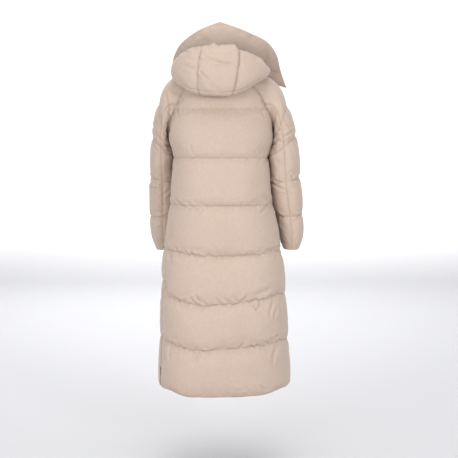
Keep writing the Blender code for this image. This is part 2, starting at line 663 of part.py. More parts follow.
def collar_inside(around, up):
    """The plain inside of the collar, from the neck seam up to its open edge."""
    foot = body_inside(collar_angle(around), np.zeros_like(around))
    share = np.abs(around)
    left = around >= 0.0
    out = np.where(left, read(LEFT_COLLAR, "out", share), -read(RIGHT_COLLAR, "out", share))
    forward = np.where(left, read(LEFT_COLLAR, "forward", share), read(RIGHT_COLLAR, "forward", share))
    height = np.where(left, read(LEFT_COLLAR, "height", share), read(RIGHT_COLLAR, "height", share))
    top = stack(out, -forward, height)
    away = unit(stack(foot[..., 0], foot[..., 1], np.zeros_like(around)))
    rise = COLLAR_RISE[0] + share * (COLLAR_RISE[1] - COLLAR_RISE[0])
    lean = COLLAR_LEAN[0] + share * (COLLAR_LEAN[1] - COLLAR_LEAN[0])
    bend = foot + stack(0.0, 0.0, rise) + away * lean[..., None]
    up = up[..., None]
    return foot * (1.0 - up) ** 2 + bend * 2.0 * up * (1.0 - up) + top * up ** 2


def collar_normals(around, up):
    return normals(collar_inside, around, up, -1.0)


def neck_rims(angle):
    """Direction of the cut edge that the body, the sleeves and the collar share round the neck."""
    around = (90.0 - np.where(angle > 270.0, angle - 360.0, angle)) / (90.0 + collar_end())
    around = np.clip(around, -1.0, 1.0)
    level = np.zeros_like(angle)
    return unit(body_normals(angle, level - 1e-3) + collar_normals(around, level + 1e-3))


def collar(material):
    around, up = np.meshgrid(collar_columns(), np.array(COLLAR_ROWS))
    inside = collar_inside(around, up)
    out = collar_normals(around, up)
    out[0] = neck_rims(collar_angle(around[0]))
    return wall("collar", inside, collar_outside(around, up, inside, out), material)


# Hood

def hood_foot(turn):
    """Where the hood is sewn to the outside of the collar, a seam's gap away from it."""
    around = turn / (90.0 + collar_end())
    up = np.full_like(around, HOOD_FOOT)
    inside = collar_inside(around, up)
    out = collar_normals(around, up)
    return collar_outside(around, up, inside, out) + out * 2.0 * SEAM_GAP


def hood_inside(turn, along):
    """The pouch side of the hood: turn is degrees from the back to the left, along runs neck to rim."""
    turn, along = np.broadcast_arrays(turn, along)
    size = np.abs(turn)
    drop = HOOD_DROP * np.clip(-turn / 50.0, 0.0, 1.0)
    points = [hood_foot(turn)]
    for k in range(1, 7):
        radius = read(HOOD, f"r{k}", size)
        sunk = drop * np.clip((HOOD_POINTS[k] - 0.6) / 0.4, 0.0, 1.0)
        height = read(HOOD, f"z{k}", size) - sunk + RAISED_POINTS[k] * read(HOOD_RAISED, "raised", turn)
        points.append(stack(radius * np.sin(np.radians(turn)), radius * np.cos(np.radians(turn)), height))
    return across(along, points)


def across(along, points):
    """Smooth curve through seven points, at the shares in HOOD_POINTS, for whole grids of them."""
    places = np.array(HOOD_POINTS)
    values = np.stack(points)
    step = np.diff(places)
    slope = np.diff(values, axis=0) / step[:, None, None, None]
    weight = step[:, None, None, None]
    inner = (slope[:-1] * weight[1:] + slope[1:] * weight[:-1]) / (weight[:-1] + weight[1:])
    slopes = np.concatenate((slope[:1], inner, slope[-1:]))
    k = np.clip(np.searchsorted(places, along, side="right") - 1, 0, len(step) - 1)
    t = np.clip((along - places[k]) / step[k], 0.0, 1.0)[..., None]
    pick = np.meshgrid(*[np.arange(n) for n in along.shape], indexing="ij")
    low, high = values[(k, *pick)], values[(k + 1, *pick)]
    low_slope, high_slope = slopes[(k, *pick)], slopes[(k + 1, *pick)]
    rise = t * t * (3.0 - 2.0 * t)
    bend = step[k][..., None] * (low_slope * t * (1.0 - t) ** 2 + high_slope * t * t * (t - 1.0))
    return low * (1.0 - rise) + high * rise + bend


def hood_turns(first, last, columns, along):
    """Columns between two seams, each a pair of degrees at the rim and at the bottom."""
    low = np.clip((1.0 - along) / 0.5, 0.0, 1.0)
    start = first[0] + low * (first[1] - first[0])
    end = last[0] + low * (last[1] - last[0])
    share = np.linspace(0.0, 1.0, columns + 1)
    return start[:, None] + share[None, :] * (end - start)[:, None]


def hood_panel(name, first, last, columns, material):
    rows = np.array(HOOD_ROWS)
    turn = hood_turns(first, last, columns, rows)
    along = np.broadcast_to(rows[:, None], turn.shape)
    inside = hood_inside(turn, along)
    out = normals(hood_inside, turn, along, -1.0)
    run = run_across(inside)
    long_run = run_along(inside)
    fill = HOOD_FILL * beside(run) * beside(run[:, -1:] - run)
    fill = fill * beside(long_run) * beside(long_run[-1:] - long_run)
    outside = inside + out * (STITCHED + fill)[..., None]
    return wall(name, inside, outside, material)


# Zips

def zip_tape(name, inside, out, edge, material):
    """A tape under one edge of a panel, showing beside it. Gives its own edge at the middle of the zip."""
    beyond = edge + 1 if edge == 0 else edge - 1
    line = inside[:, edge]
    under = unit(inside[:, beyond] - line)
    outward = unit(out[:, edge])
    outward = unit(outward - under * np.sum(outward * under, axis=1, keepdims=True))
    places = np.array((-TAPE_SHOWS, 0.0, TAPE_UNDER))
    face = line[:, None] + under[:, None] * places[None, :, None] - outward[:, None] * TAPE_SUNK
    middle = face[:, 0]
    if edge != 0:
        face = face[:, ::-1]
    wall(name, face - outward[:, None] * TAPE_THICK, face, material, apart=False)
    return middle


def zip_frame(across, above, below):
    """Axes of a slider: across the zip, down it and out of it, with its middle just off the tapes."""
    down = unit(below - above)
    out = unit(np.cross(down, across))
    middle = 0.5 * (above + below) + out * SLIDER_LIFT
    return np.stack((np.cross(out, down), down, out)), middle


def blocks(name, axes, middle, places, filled, material):
    """A solid of boxes on a lattice: the places of its planes on three axes, and which cells it fills."""
    filled = np.pad(filled, 1)
    bm = bmesh.new()
    corners = {}

    def corner(index):
        if index not in corners:
            local = np.array([places[axis][index[axis]] for axis in range(3)])
            corners[index] = bm.verts.new(middle + local @ axes)
        return corners[index]

    for cell in np.argwhere(filled):
        for axis in range(3):
            for way in (0, 1):
                other = cell.copy()
                other[axis] += 2 * way - 1
                if filled[tuple(other)]:
                    continue
                ring_of = []
                for first, second in ((0, 0), (1, 0), (1, 1), (0, 1)):
                    index = list(cell - 1)
                    index[axis] += way
                    index[(axis + 1) % 3] += first
                    index[(axis + 2) % 3] += second
                    ring_of.append(corner(tuple(index)))
                bm.faces.new(ring_of if way else ring_of[::-1])
    bmesh.ops.recalc_face_normals(bm, faces=bm.faces[:])
    if bm.calc_volume(signed=True) < 0.0:
        bmesh.ops.reverse_faces(bm, faces=bm.faces[:])
    return add_object(name, bm, material)


def zip_slider(name, axes, middle, material):
    """A slider with the bridge that holds its pull."""
    wide, tall, thick = (0.5 * SLIDER[0], 0.5 * SLIDER[1], SLIDER[2])
    arm, reach, high = (0.5 * BRIDGE[0], 0.5 * BRIDGE[1], BRIDGE[2])
    across = (-wide, -arm, arm, wide)
    along = (-tall, -reach, BRIDGE_BAR - reach, reach - BRIDGE_BAR, reach, tall)
    up = (0.0, thick, thick + high - BRIDGE_BAR, thick + high)
    filled = np.zeros((3, 5, 3), bool)
    filled[:, :, 0] = True
    filled[1, (1, 3), 1] = True
    filled[1, 1:4, 2] = True
    return blocks(name, axes, middle, (across, along, up), filled, material)


def zip_pull(name, axes, middle, material):
    """A pull tab with a window round the bridge. It turns about its top bar."""
    wide = 0.5 * PULL[0]
    window = 0.5 * PULL_WINDOW[0]
    bar = 0.5 * PULL_BAR
    thick = 0.5 * PULL[2]
    across = (-wide, -window, window, wide)
    along = (-bar, bar, bar + PULL_WINDOW[1], PULL[1] - bar)
    up = (-thick, thick)
    filled = np.ones((3, 3, 1), bool)
    filled[1, 1] = False
    axis = middle + axes[2] * (SLIDER[2] + PULL_CENTRE)
    return blocks(name, axes, axis, (across, along, up), filled, material)


def zip_pair(prefix, grids, across, level, material, metal):
    """Both tapes of a zip with its slider and pull. Each grid is levels, inside, directions and edge."""
    middles = []
    for word, (levels, inside, out, edge) in grids.items():
        middle = zip_tape(f"{prefix}_zip_{word}", inside, out, edge, material)
        line = [[np.interp(at, levels, middle[:, axis]) for axis in range(3)] for at in SLIDER_ENDS + level]
        middles.append(np.array(line))
    below, above = 0.5 * (middles[0] + middles[1])
    axes, middle = zip_frame(np.array(across), above, below)
    zip_slider(f"{prefix}_slider", axes, middle, metal)
    zip_pull(f"{prefix}_pull", axes, middle, metal)


# Making the solids

def set_apart(points):
    """The four edges of a grid of points, drawn in by half a seam's gap."""
    points = points.copy()
    half = DRAWN_IN * SEAM_GAP
    for edge, beyond in ((0, 1), (-1, -2)):
        points[edge] += half * unit(points[beyond] - points[edge])
    for edge, beyond in ((0, 1), (-1, -2)):
        points[:, edge] += half * unit(points[:, beyond] - points[:, edge])
    return points


def wall(name, inside, outside, material, apart=True):
    """A closed wall between two grids of points: a sheet, extruded, with each side put on its grid."""
    if apart:
        inside = set_apart(inside)
        outside = set_apart(outside)
    rows, columns = inside.shape[:2]
    bm = bmesh.new()
    bmesh.ops.create_grid(bm, x_segments=columns - 1, y_segments=rows - 1, size=1.0)
    place = bm.verts.layers.int.new("place")
    for vertex in bm.verts:
        column = round((vertex.co.x + 1.0) / 2.0 * (columns - 1))
        row = round((vertex.co.y + 1.0) / 2.0 * (rows - 1))
        vertex[place] = row * columns + column
    raised = bmesh.ops.extrude_face_region(bm, geom=bm.faces[:])
    raised = {v for v in raised["geom"] if isinstance(v, bmesh.types.BMVert)}
    flat_inside = inside.reshape(-1, 3)
    flat_outside = outside.reshape(-1, 3)
    for vertex in bm.verts:
        vertex.co = (flat_outside if vertex in raised else flat_inside)[vertex[place]]
    bmesh.ops.recalc_face_normals(bm, faces=bm.faces[:])
    bmesh.ops.triangulate(bm, faces=bm.faces[:])
    if bm.calc_volume(signed=True) < 0.0:
        bmesh.ops.reverse_faces(bm, faces=bm.faces[:])
    return add_object(name, bm, material)


def add_object(name, bm, material):
    mesh = bpy.data.meshes.new(name)
    bm.to_mesh(mesh)
    bm.free()
    mesh.materials.append(material)
    mesh.shade_smooth()
    mesh.set_sharp_from_angle(angle=math.radians(50.0))
    made = bpy.data.objects.new(name, mesh)
    COLLECTION.objects.link(made)
    return made


def cloth(name, colour=BEIGE, roughness=0.6, metallic=0.0):
    material = bpy.data.materials.new(name)
    material.use_nodes = True
    shader = material.node_tree.nodes["Principled BSDF"]
    shader.inputs["Base Color"].default_value = (*colour, 1.0)
    shader.inputs["Roughness"].default_value = roughness
    shader.inputs["Metallic"].default_value = metallic
    return material


def clear_scene():
    for old in list(bpy.data.objects):
        bpy.data.objects.remove(old, do_unlink=True)


clear_scene()
COLLECTION = bpy.data.collections.new("long_puffer_coat")
bpy.context.scene.collection.children.link(COLLECTION)


def build():
    shell = cloth("puffer_shell")
    tape = cloth("zip_tape", colour=TAPE_BROWN, roughness=0.8)
    metal = cloth("zip_metal", colour=BRONZE, roughness=0.35, metallic=1.0)
    grids = {}
    for name, face, side, columns in PANELS:
        levels, inside, out, fill = body_grid(face, side, columns)
        wall(name, inside, inside + out * (STITCHED + fill)[..., None], shell)
        grids[name] = (levels, inside, out)
    for side, word in ((1, "left"), (-1, "right")):
        sleeve(side, word, shell)
    collar(shell)
    ends = (-HOOD_END, -HOOD_END), *HOOD_SEAMS, (HOOD_END, HOOD_END)
    names = ("hood_right", "hood_middle", "hood_left")
    for name, first, last, count in zip(names, ends, ends[1:], HOOD_COLUMNS):
        hood_panel(name, first, last, count, shell)

    fronts = {"left": (*grids["front_left"], -1), "right": (*grids["front_right"], -1)}
    zip_pair("front", fronts, (1.0, 0.0, 0.0), FRONT_SLIDER, tape, metal)
    for side, word in ((1, "left"), (-1, "right")):
        pair = {}
        for piece, place, edge in (("rear", "back", 0 if side > 0 else -1), ("fore", f"front_{word}", 0)):
            levels, inside, out = grids[place]
            vent = levels < VENT_TOP
            pair[piece] = (levels[vent], inside[vent], out[vent], edge)
        rear, fore = (
            [np.interp(SIDE_SLIDER, piece[0], line) for line in piece[1][:, piece[3]].T] for piece in pair.values()
        )
        zip_pair(word, pair, side * unit(np.subtract(rear, fore)), SIDE_SLIDER, tape, metal)


build()
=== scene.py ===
"""Looks of the long puffer coat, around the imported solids.

Each quilted piece is made again on a finer grid from the same sizes as its solid. Its outer fabric is then
cloth that is held at the stitches and seams, cut larger than the wall and pressed out by its fill.
"""

import math

import bmesh
import bpy
import numpy as np
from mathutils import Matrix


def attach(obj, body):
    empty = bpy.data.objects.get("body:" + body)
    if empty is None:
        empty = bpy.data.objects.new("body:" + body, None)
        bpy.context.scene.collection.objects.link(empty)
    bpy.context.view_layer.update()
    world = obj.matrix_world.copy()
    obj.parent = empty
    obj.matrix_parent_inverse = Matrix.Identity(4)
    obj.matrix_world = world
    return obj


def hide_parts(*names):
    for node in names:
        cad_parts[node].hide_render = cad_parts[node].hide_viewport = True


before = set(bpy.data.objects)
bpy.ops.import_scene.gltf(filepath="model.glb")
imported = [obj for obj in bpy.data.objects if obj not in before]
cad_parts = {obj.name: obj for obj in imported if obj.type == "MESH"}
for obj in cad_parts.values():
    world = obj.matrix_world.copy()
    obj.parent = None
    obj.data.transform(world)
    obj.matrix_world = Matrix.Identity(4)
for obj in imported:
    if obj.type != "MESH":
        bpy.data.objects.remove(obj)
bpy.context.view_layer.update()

SEAM_GAP = 0.0003  # between pieces that are sewn together
DRAWN_IN = 0.62  # of that gap, on each side, with some to spare where a seam curves
STITCHED = 0.0032  # a quilted wall at a stitch line
BODY_FILL = 0.0165  # height of the fill over the stitched wall, at the back and front
SIDE_FILL = 0.0085  # the same at the sides, under the arms
SLEEVE_FILL = 0.0105
COLLAR_FILL = 0.0100
HOOD_FILL = 0.0100
EDGE_ROLL = 0.020  # width over which the fill rises beside a seam or an edge
FOLD_ROLL = 0.55  # how much slower it rises from a seam that lies in a fold
ROUNDNESS = 0.87  # 1 makes the body's sections ellipses, less makes them squarer
SIDE_CURVE = 1.5  # how soon the body's fill thins out towards its sides
ARCH_LOW = 0.88  # less than 1 puts a channel's crown lower down
ARCH_FULL = 2.3  # how full a channel is beside its crown
ARCH_STEEP = 0.7  # how steeply it meets a stitch line, where less is steeper
NARROW = 0.07  # width of a channel that takes about two thirds of its full fill
TINY = 1e-6  # room for rounding where heights or shares are compared

HEM = -1.261
LINES = (HEM, -1.084, -0.911, -0.732, -0.541, -0.360, -0.176, 0.0)  # the quilt lines, hem and neck
LINE_KEPT = (0.0, 0.06, 0.06, 0.10, 0.24, 0.34, 0.42, 0.0)  # share of the fill that stays at each of them
YOKE = LINES[-2]
UNDERARM = -0.290
NECK_SIDE = -0.030  # height of the neck seam at the shoulder
NECK_BACK_RISE = 0.030
NECK_FRONT_DROP = 0.047

VENT_TOP = -0.905  # the side zips run from here down to the hem
ZIP_HALF = 0.0050  # half of the strip of zip that shows between two edges
FRONT_SLIDER = -0.330
FRONT_OPEN = 0.050  # half of the opening at the neck, above the front slider
FRONT_CURVE = 1.4  # 1 opens it in a straight line, more in a curve
SIDE_SLIDER = -1.195
VENT_OPEN = 0.012  # half of the opening at the hem, below a side slider
VENT_CURVE = 1.3
VENT_REACH = 9.0  # degrees to each side of a side seam in which a panel's edge lies
VENT_STEPS = 181
TAPE_SHOWS = ZIP_HALF - 0.00015  # from a panel's edge to the tape's own edge at the middle of the zip
TAPE_SUNK = 0.0004  # from a panel's inside to the tape's face

# Rows of the solid in each channel, as shares of its height, which a sleeve's columns meet
CHANNEL_ROWS = (0.0, 0.13, 0.37, 0.63, 0.87)
UNDERARM_CHANNEL_ROWS = (0.0, 0.14, (UNDERARM - LINES[5]) / (LINES[6] - LINES[5]), 0.62, 0.86)
NECK_ARC = 6  # columns of a sleeve along the neck seam
NECK_START = 0.42  # where a sleeve's armhole loop reaches the neck seam, as a share of the loop


def table(names, *rows):
    """A table of sections as named columns, with the first one rising."""
    columns = np.array(sorted(rows), float).T
    return dict(zip(names.split(), columns))


BODY = table(
    "height middle half_width back front",
    (0.000, 0.000, 0.100, 0.098, 0.066),
    (-0.030, 0.000, 0.122, 0.107, 0.080),
    (-0.077, 0.000, 0.160, 0.124, 0.108),
    (-0.120, 0.000, 0.184, 0.138, 0.130),
    (-0.176, 0.000, 0.197, 0.153, 0.152),
    (-0.240, 0.000, 0.203, 0.165, 0.168),
    (-0.290, 0.000, 0.204, 0.170, 0.175),
    (-0.325, 0.000, 0.193, 0.173, 0.178),
    (-0.400, 0.000, 0.192, 0.177, 0.181),
    (-0.480, 0.000, 0.196, 0.180, 0.183),
    (-0.541, -0.002, 0.206, 0.182, 0.184),
    (-0.600, -0.004, 0.215, 0.184, 0.186),
    (-0.732, -0.006, 0.2345, 0.190, 0.190),
    (-0.911, -0.009, 0.249, 0.199, 0.197),
    (-1.084, -0.011, 0.257, 0.206, 0.203),
    (HEM, -0.012, 0.266, 0.213, 0.209),
)
SHIFT_ANGLES = (14.0, 34.0, 60.0, 75.0, 90.0, 120.0, 150.0, 180.0)
LINE_SHIFT = table(  # how far the quilt lines hang from level, at those angles around the back
    "level a14 a34 a60 a75 a90 a120 a150 a180",
    (HEM, 0.002, 0.002, -0.014, -0.012, -0.010, -0.008, 0.006, 0.006),
    (LINES[1], 0.020, 0.012, -0.005, -0.009, -0.001, 0.008, 0.018, 0.012),
    (LINES[2], 0.070, 0.014, -0.002, -0.011, -0.004, 0.010, 0.024, 0.014),
    (LINES[3], 0.018, 0.014, 0.005, 0.001, 0.000, 0.004, 0.012, 0.014),
    (LINES[4], 0.000, 0.000, 0.000, 0.000, 0.000, 0.000, 0.000, 0.000),
    (LINES[5], 0.000, 0.000, 0.000, 0.000, 0.000, 0.000, 0.000, 0.000),
    (0.0, 0.000, 0.000, 0.000, 0.000, 0.000, 0.000, 0.000, 0.000),
)
SHIFT_FADE = (15.0, 60.0)  # degrees in front of the side between which that fades
TWIST = table(  # how far the side seams are turned, the left one to the back and the right one to the front
    "level degrees",
    (HEM, 12.0),
    (LINES[1], 11.0),
    (LINES[2], 9.0),
    (LINES[3], 4.0),
    (LINES[4], 0.0),
    (LINES[5], 0.0),
    (0.0, 0.0),
)
RAGLAN = table(
    "level back front",
    (UNDERARM, 0.0, 0.0),
    (-0.250, 6.0, 8.0),
    (-0.205, 14.0, 17.0),
    (-0.160, 25.0, 28.0),
    (-0.110, 36.0, 37.0),
    (-0.055, 46.0, 43.0),
    (0.000, 52.0, 46.0),
)
SLEEVE_LINES = (0.0, 0.27, 0.43, 0.61, 0.79, 1.0)
SLEEVE_KEPT = (0.0, 0.25, 0.20, 0.20, 0.20, 0.0)
ARMHOLE_DEEP = 0.118  # half of a sleeve's first ellipse, front to back
EVEN_BY = 0.34  # how far along a sleeve its columns have come to lie evenly around it
ARMHOLE_FADE = 0.42  # how far along a sleeve the armhole's own shape has faded out
FOLD_BY = 0.34  # how far along the underarm's fold keeps the fill thin
NORMAL_PASSES = 3
WAVES = 8  # waves around the armhole that its shape is read as
WAVE_FADE = 2.2  # how much sooner the shorter waves fade
MISSED_FADE = 0.03  # how far along the rest of its shape fades
REAR_SEAM_LEVEL = 4  # rows of the body from the underarm up to where a sleeve's seams start
SLEEVE_NAMES = "along over_out over_height under_out under_height forward half_depth"
RIGHT_SLEEVE = table(
    SLEEVE_NAMES,
    (0.06, 0.150, -0.036, 0.2180, -0.289, 0.000, 0.128),
    (0.12, 0.190, -0.053, 0.2195, -0.300, 0.002, 0.122),
    (0.20, 0.230, -0.090, 0.2100, -0.318, 0.008, 0.114),
    (0.27, 0.256, -0.145, 0.2040, -0.322, 0.010, 0.105),
    (0.35, 0.281, -0.210, 0.1985, -0.341, 0.010, 0.097),
    (0.43, 0.296, -0.270, 0.1910, -0.368, 0.008, 0.091),
    (0.52, 0.309, -0.355, 0.1865, -0.414, 0.008, 0.086),
    (0.61, 0.315, -0.440, 0.1895, -0.464, 0.012, 0.082),
    (0.70, 0.324, -0.520, 0.1985, -0.525, 0.018, 0.078),
    (0.79, 0.328, -0.588, 0.2120, -0.590, 0.025, 0.073),
    (0.90, 0.329, -0.660, 0.2280, -0.662, 0.032, 0.066),
    (1.00, 0.316, -0.726, 0.2390, -0.722, 0.036, 0.052),
)
LEFT_SLEEVE = table(
    SLEEVE_NAMES,
    (0.06, 0.149, -0.036, 0.2190, -0.289, 0.002, 0.128),
    (0.12, 0.187, -0.053, 0.2200, -0.299, 0.008, 0.120),
    (0.20, 0.222, -0.092, 0.2140, -0.312, 0.020, 0.110),
    (0.27, 0.243, -0.145, 0.2080, -0.323, 0.034, 0.100),
    (0.35, 0.262, -0.210, 0.2020, -0.342, 0.052, 0.092),
    (0.43, 0.273, -0.270, 0.1940, -0.368, 0.070, 0.086),
    (0.52, 0.284, -0.355, 0.1860, -0.414, 0.090, 0.080),
    (0.61, 0.291, -0.440, 0.1750, -0.464, 0.110, 0.076),
    (0.70, 0.292, -0.525, 0.1750, -0.530, 0.125, 0.073),
    (0.79, 0.293, -0.600, 0.1790, -0.600, 0.136, 0.069),
    (0.90, 0.288, -0.672, 0.1850, -0.672, 0.146, 0.063),
    (1.00, 0.274, -0.738, 0.1960, -0.734, 0.152, 0.050),
)

COLLAR_NAMES = "around out forward height"
COLLAR_RISE = (0.085, 0.052)  # how far it first stands straight up, at the back and at the front edges
COLLAR_LEAN = (0.022, 0.010)  # how far it leans out over that rise
RIGHT_COLLAR = table(
    COLLAR_NAMES,
    (0.00, -0.004, -0.130, 0.152),
    (0.18, 0.058, -0.121, 0.133),
    (0.35, 0.114, -0.090, 0.113),
    (0.52, 0.180, -0.040, 0.084),
    (0.68, 0.219, 0.018, 0.038),
    (0.84, 0.237, 0.070, -0.020),
    (1.00, 0.262, 0.118, -0.082),
)
LEFT_COLLAR = table(
    COLLAR_NAMES,
    (0.00, 0.004, -0.130, 0.152),
    (0.18, 0.058, -0.120, 0.133),
    (0.35, 0.104, -0.092, 0.112),
    (0.52, 0.156, -0.042, 0.076),
    (0.68, 0.184, 0.020, 0.034),
    (0.84, 0.196, 0.085, -0.016),
    (1.00, 0.196, 0.152, -0.070),
)
COLLAR_HALF = 0.36  # length of the collar from its back to a front edge
COLLAR_STITCH = 0.84  # a line of stitches beside each front edge, as a share from the back to the edge

HOOD_END = 94.0  # degrees either side of the back
HOOD_POINTS = (0.0, 0.20, 0.40, 0.50, 0.60, 0.78, 1.0)  # from neck to rim: the foot, then r1, z1 to r6, z6
HOOD_LOWEST = 0.5  # share of the way from neck to rim at which it hangs lowest
HOOD_FOOT = 0.10  # how far up the collar the hood is sewn on, as a share of the collar
HOOD = table(
    "turn r1 z1 r2 z2 r3 z3 r4 z4 r5 z5 r6 z6",
    (0.0, 0.142, -0.028, 0.168, -0.086, 0.190, -0.114, 0.214, -0.104, 0.218, -0.032, 0.178, 0.060),
    (30.0, 0.145, -0.026, 0.170, -0.080, 0.190, -0.105, 0.210, -0.094, 0.212, -0.026, 0.180, 0.051),
    (60.0, 0.146, -0.014, 0.166, -0.041, 0.182, -0.055, 0.197, -0.047, 0.199, -0.011, 0.184, 0.022),
    (85.0, 0.145, -0.010, 0.158, -0.016, 0.166, -0.020, 0.171, -0.018, 0.170, -0.009, 0.166, -0.001),
    (112.0, 0.138, -0.014, 0.146, -0.018, 0.152, -0.021, 0.157, -0.018, 0.159, -0.012, 0.158, -0.004),
)
HOOD_RAISED = table(  # how much higher the pouch hangs on its right side
    "turn raised",
    (-112.0, 0.000),
    (-62.0, 0.005),
    (-33.0, 0.013),
    (-8.0, 0.002),
    (0.0, 0.000),
    (112.0, 0.000),
)
RAISED_POINTS = (0.0, 0.0, 1.0, 1.0, 1.0, 0.3, 0.0)
HOOD_DROP = 0.020  # how much lower the rim hangs on the right
HOOD_DROP_BY = 50.0  # degrees to the right at which it hangs that much lower
HOOD_DROP_FROM = 0.6  # share of the way to the rim from which it does
HOOD_SEAMS = ((-22.0, -11.0), (22.0, 22.5))  # degrees at the rim and at the bottom


def located(at, places):
    """Which step between rising places each value lies in, and how far through it, as a share."""
    places = np.asarray(places)
    k = np.clip(np.searchsorted(places, at, side="right") - 1, 0, len(places) - 2)
    return k, (at - places[k]) / (places[k + 1] - places[k])


def smooth(share):
    """From 0 to 1, level at both ends."""
    return share * share * (3.0 - 2.0 * share)


def bell(distance, width):
    """1 at no distance, falling to nothing over about twice the width."""
    return np.exp(-(distance / width) ** 2)


def through(at, places, values):
    """Smooth curve through values at rising places, read at any array of places."""
    at = np.asarray(at, float)
    step = np.diff(places)
    slope = np.diff(values) / step
    inner = (slope[:-1] * step[1:] + slope[1:] * step[:-1]) / (step[:-1] + step[1:])
    slopes = np.concatenate((slope[:1], inner, slope[-1:]))
    k, share = located(at, places)
    t = np.clip(share, 0.0, 1.0)
    rise = smooth(t)
    start = t * (1.0 - t) ** 2
    end = t * t * (t - 1.0)
    return (
        values[k] * (1.0 - rise)
        + values[k + 1] * rise
        + step[k] * (slopes[k] * start + slopes[k + 1] * end)
    )


def read(rows, name, at):
    """One column of a table at any place of its first column."""
    places = next(iter(rows.values()))
    return through(at, places, rows[name])


def unit(vectors):
    """The vectors at a length of 1."""
    return vectors / np.maximum(np.linalg.norm(vectors, axis=-1, keepdims=True), 1e-12)


def stack(x, y, z):
    """Points from their three coordinates."""
    return np.stack(np.broadcast_arrays(x, y, z), axis=-1)


def arch(share):
    """Height of the fill across a channel, 0 at both stitch lines and 1 at the crown, fuller low down."""
    share = np.clip(share, 0.0, 1.0) ** ARCH_LOW
    return (1.0 - np.abs(2.0 * share - 1.0) ** ARCH_FULL) ** ARCH_STEEP


def quilted(at, lines, kept):
    """Height of the fill across the channels, with the share of it that is kept at each stitch line."""
    return 1.0 - (1.0 - arch(located(at, lines)[1])) * (1.0 - np.interp(at, lines, kept))


def beside(distance):
    """Height of the fill at a distance from a seam, from 0 on the seam to 1."""
    return 1.0 - np.exp(-np.maximum(distance, 0.0) / (0.5 * EDGE_ROLL))


def narrow(width):
    """How much of its full fill a channel takes where it is that wide."""
    return 1.0 - np.exp(-width / NARROW)


def normals(surface, first, second, turn):
    """Unit normals of a surface of two parameters, by small steps in each."""
    small = 1e-4
    along = surface(first + small, second) - surface(first - small, second)
    across = surface(first, second + small) - surface(first, second - small)
    return turn * unit(np.cross(along, across))


# Body

def line_shift(angle, level):
    """How far a row hangs from level at an angle: as the table says at the back, fading out in front."""
    angle, level = np.broadcast_arrays(np.asarray(angle, float), np.asarray(level, float))
    side = np.where(np.cos(np.radians(angle)) > 0.0, 0.0, 180.0)
    at_back = np.sin(np.radians(angle)) >= 0.0
    places = np.array(SHIFT_ANGLES)
    turn = np.clip(np.where(at_back, np.mod(angle, 360.0), side), places[0], places[-1])
    values = np.stack([read(LINE_SHIFT, f"a{place:.0f}", level) for place in places])
    k, share = located(turn, places)
    low = np.take_along_axis(values, k[None], axis=0)[0]
    high = np.take_along_axis(values, k[None] + 1, axis=0)[0]
    before_side = np.degrees(np.arcsin(np.clip(-np.sin(np.radians(angle)), 0.0, 1.0)))
    fade = np.clip((SHIFT_FADE[1] - before_side) / (SHIFT_FADE[1] - SHIFT_FADE[0]), 0.0, 1.0)
    return (low + smooth(np.clip(share, 0.0, 1.0)) * (high - low)) * fade


def row_height(angle, level):
    """Height of a row at an angle: near its level up to the yoke, then rising to the slanted neck seam."""
    up = np.sin(np.radians(angle))
    neck = NECK_SIDE + np.where(up > 0.0, NECK_BACK_RISE, NECK_FRONT_DROP) * up
    share = (level - YOKE) / -YOKE
    return np.where(level > YOKE, YOKE + share * (neck - YOKE), level + line_shift(angle, level))


def body_fill(angle):
    """Full height of the body's fill at an angle, thinner at the sides."""
    return SIDE_FILL + (BODY_FILL - SIDE_FILL) * np.abs(np.sin(np.radians(angle))) ** SIDE_CURVE


def body_inside(angle, level):
    """The plain inside of the body at an angle around it and a row's level."""
    height = row_height(angle, level)
    wall = STITCHED + body_fill(angle)
    c = np.cos(np.radians(angle))
    s = np.sin(np.radians(angle))
    wide = read(BODY, "half_width", height) - wall
    deep = np.where(s > 0.0, read(BODY, "back", height), read(BODY, "front", height)) - wall
    x = read(BODY, "middle", height) + wide * np.sign(c) * np.abs(c) ** ROUNDNESS
    y = deep * np.sign(s) * np.abs(s) ** ROUNDNESS
    return stack(x, y, height)


def body_normals(angle, level):
    """Unit normals of the body's inside, pointing out of it."""
    return normals(body_inside, angle, level, 1.0)


def body_levels():
    """The rows of the body, hem to neck, with each quilt line and the underarm among them."""
    levels = []
    for k, (low, high) in enumerate(zip(LINES, LINES[1:])):
        shares = UNDERARM_CHANNEL_ROWS if k == 5 else CHANNEL_ROWS
        levels += [low + share * (high - low) for share in shares]
    return np.array(levels + [LINES[-1]])


def vent_half(level):
    """Half of the opening between the back's and a front's edge at a side zip, 0 above it."""
    shut = np.where(level < VENT_TOP + TINY, ZIP_HALF, 0.0)
    below = np.clip((SIDE_SLIDER - level) / (SIDE_SLIDER - HEM), 0.0, 1.0)
    return shut + below ** VENT_CURVE * (VENT_OPEN - ZIP_HALF)


def front_half(level):
    """Half of the opening between the two fronts' edges."""
    above = np.clip((level - FRONT_SLIDER) / -FRONT_SLIDER, 0.0, 1.0)
    return ZIP_HALF + above ** FRONT_CURVE * (FRONT_OPEN - ZIP_HALF)


def angle_for(distance, half_size):
    """Degrees from the side, or from the front, at which a section is that far from its own axis."""
    return np.degrees(np.arcsin(np.clip(distance / half_size, 0.0, 1.0) ** (1.0 / ROUNDNESS)))


def around_from(seam, level, distance):
    """Degrees past a seam at which the body's inside is that far around from it."""
    reach = np.sign(distance)[:, None] * np.linspace(0.0, VENT_REACH, VENT_STEPS)
    points = body_inside(seam[:, None] + reach, level[:, None])
    run = run_across(points)
    return np.array([np.interp(abs(far), row, steps) for far, row, steps in zip(distance, run, reach)])


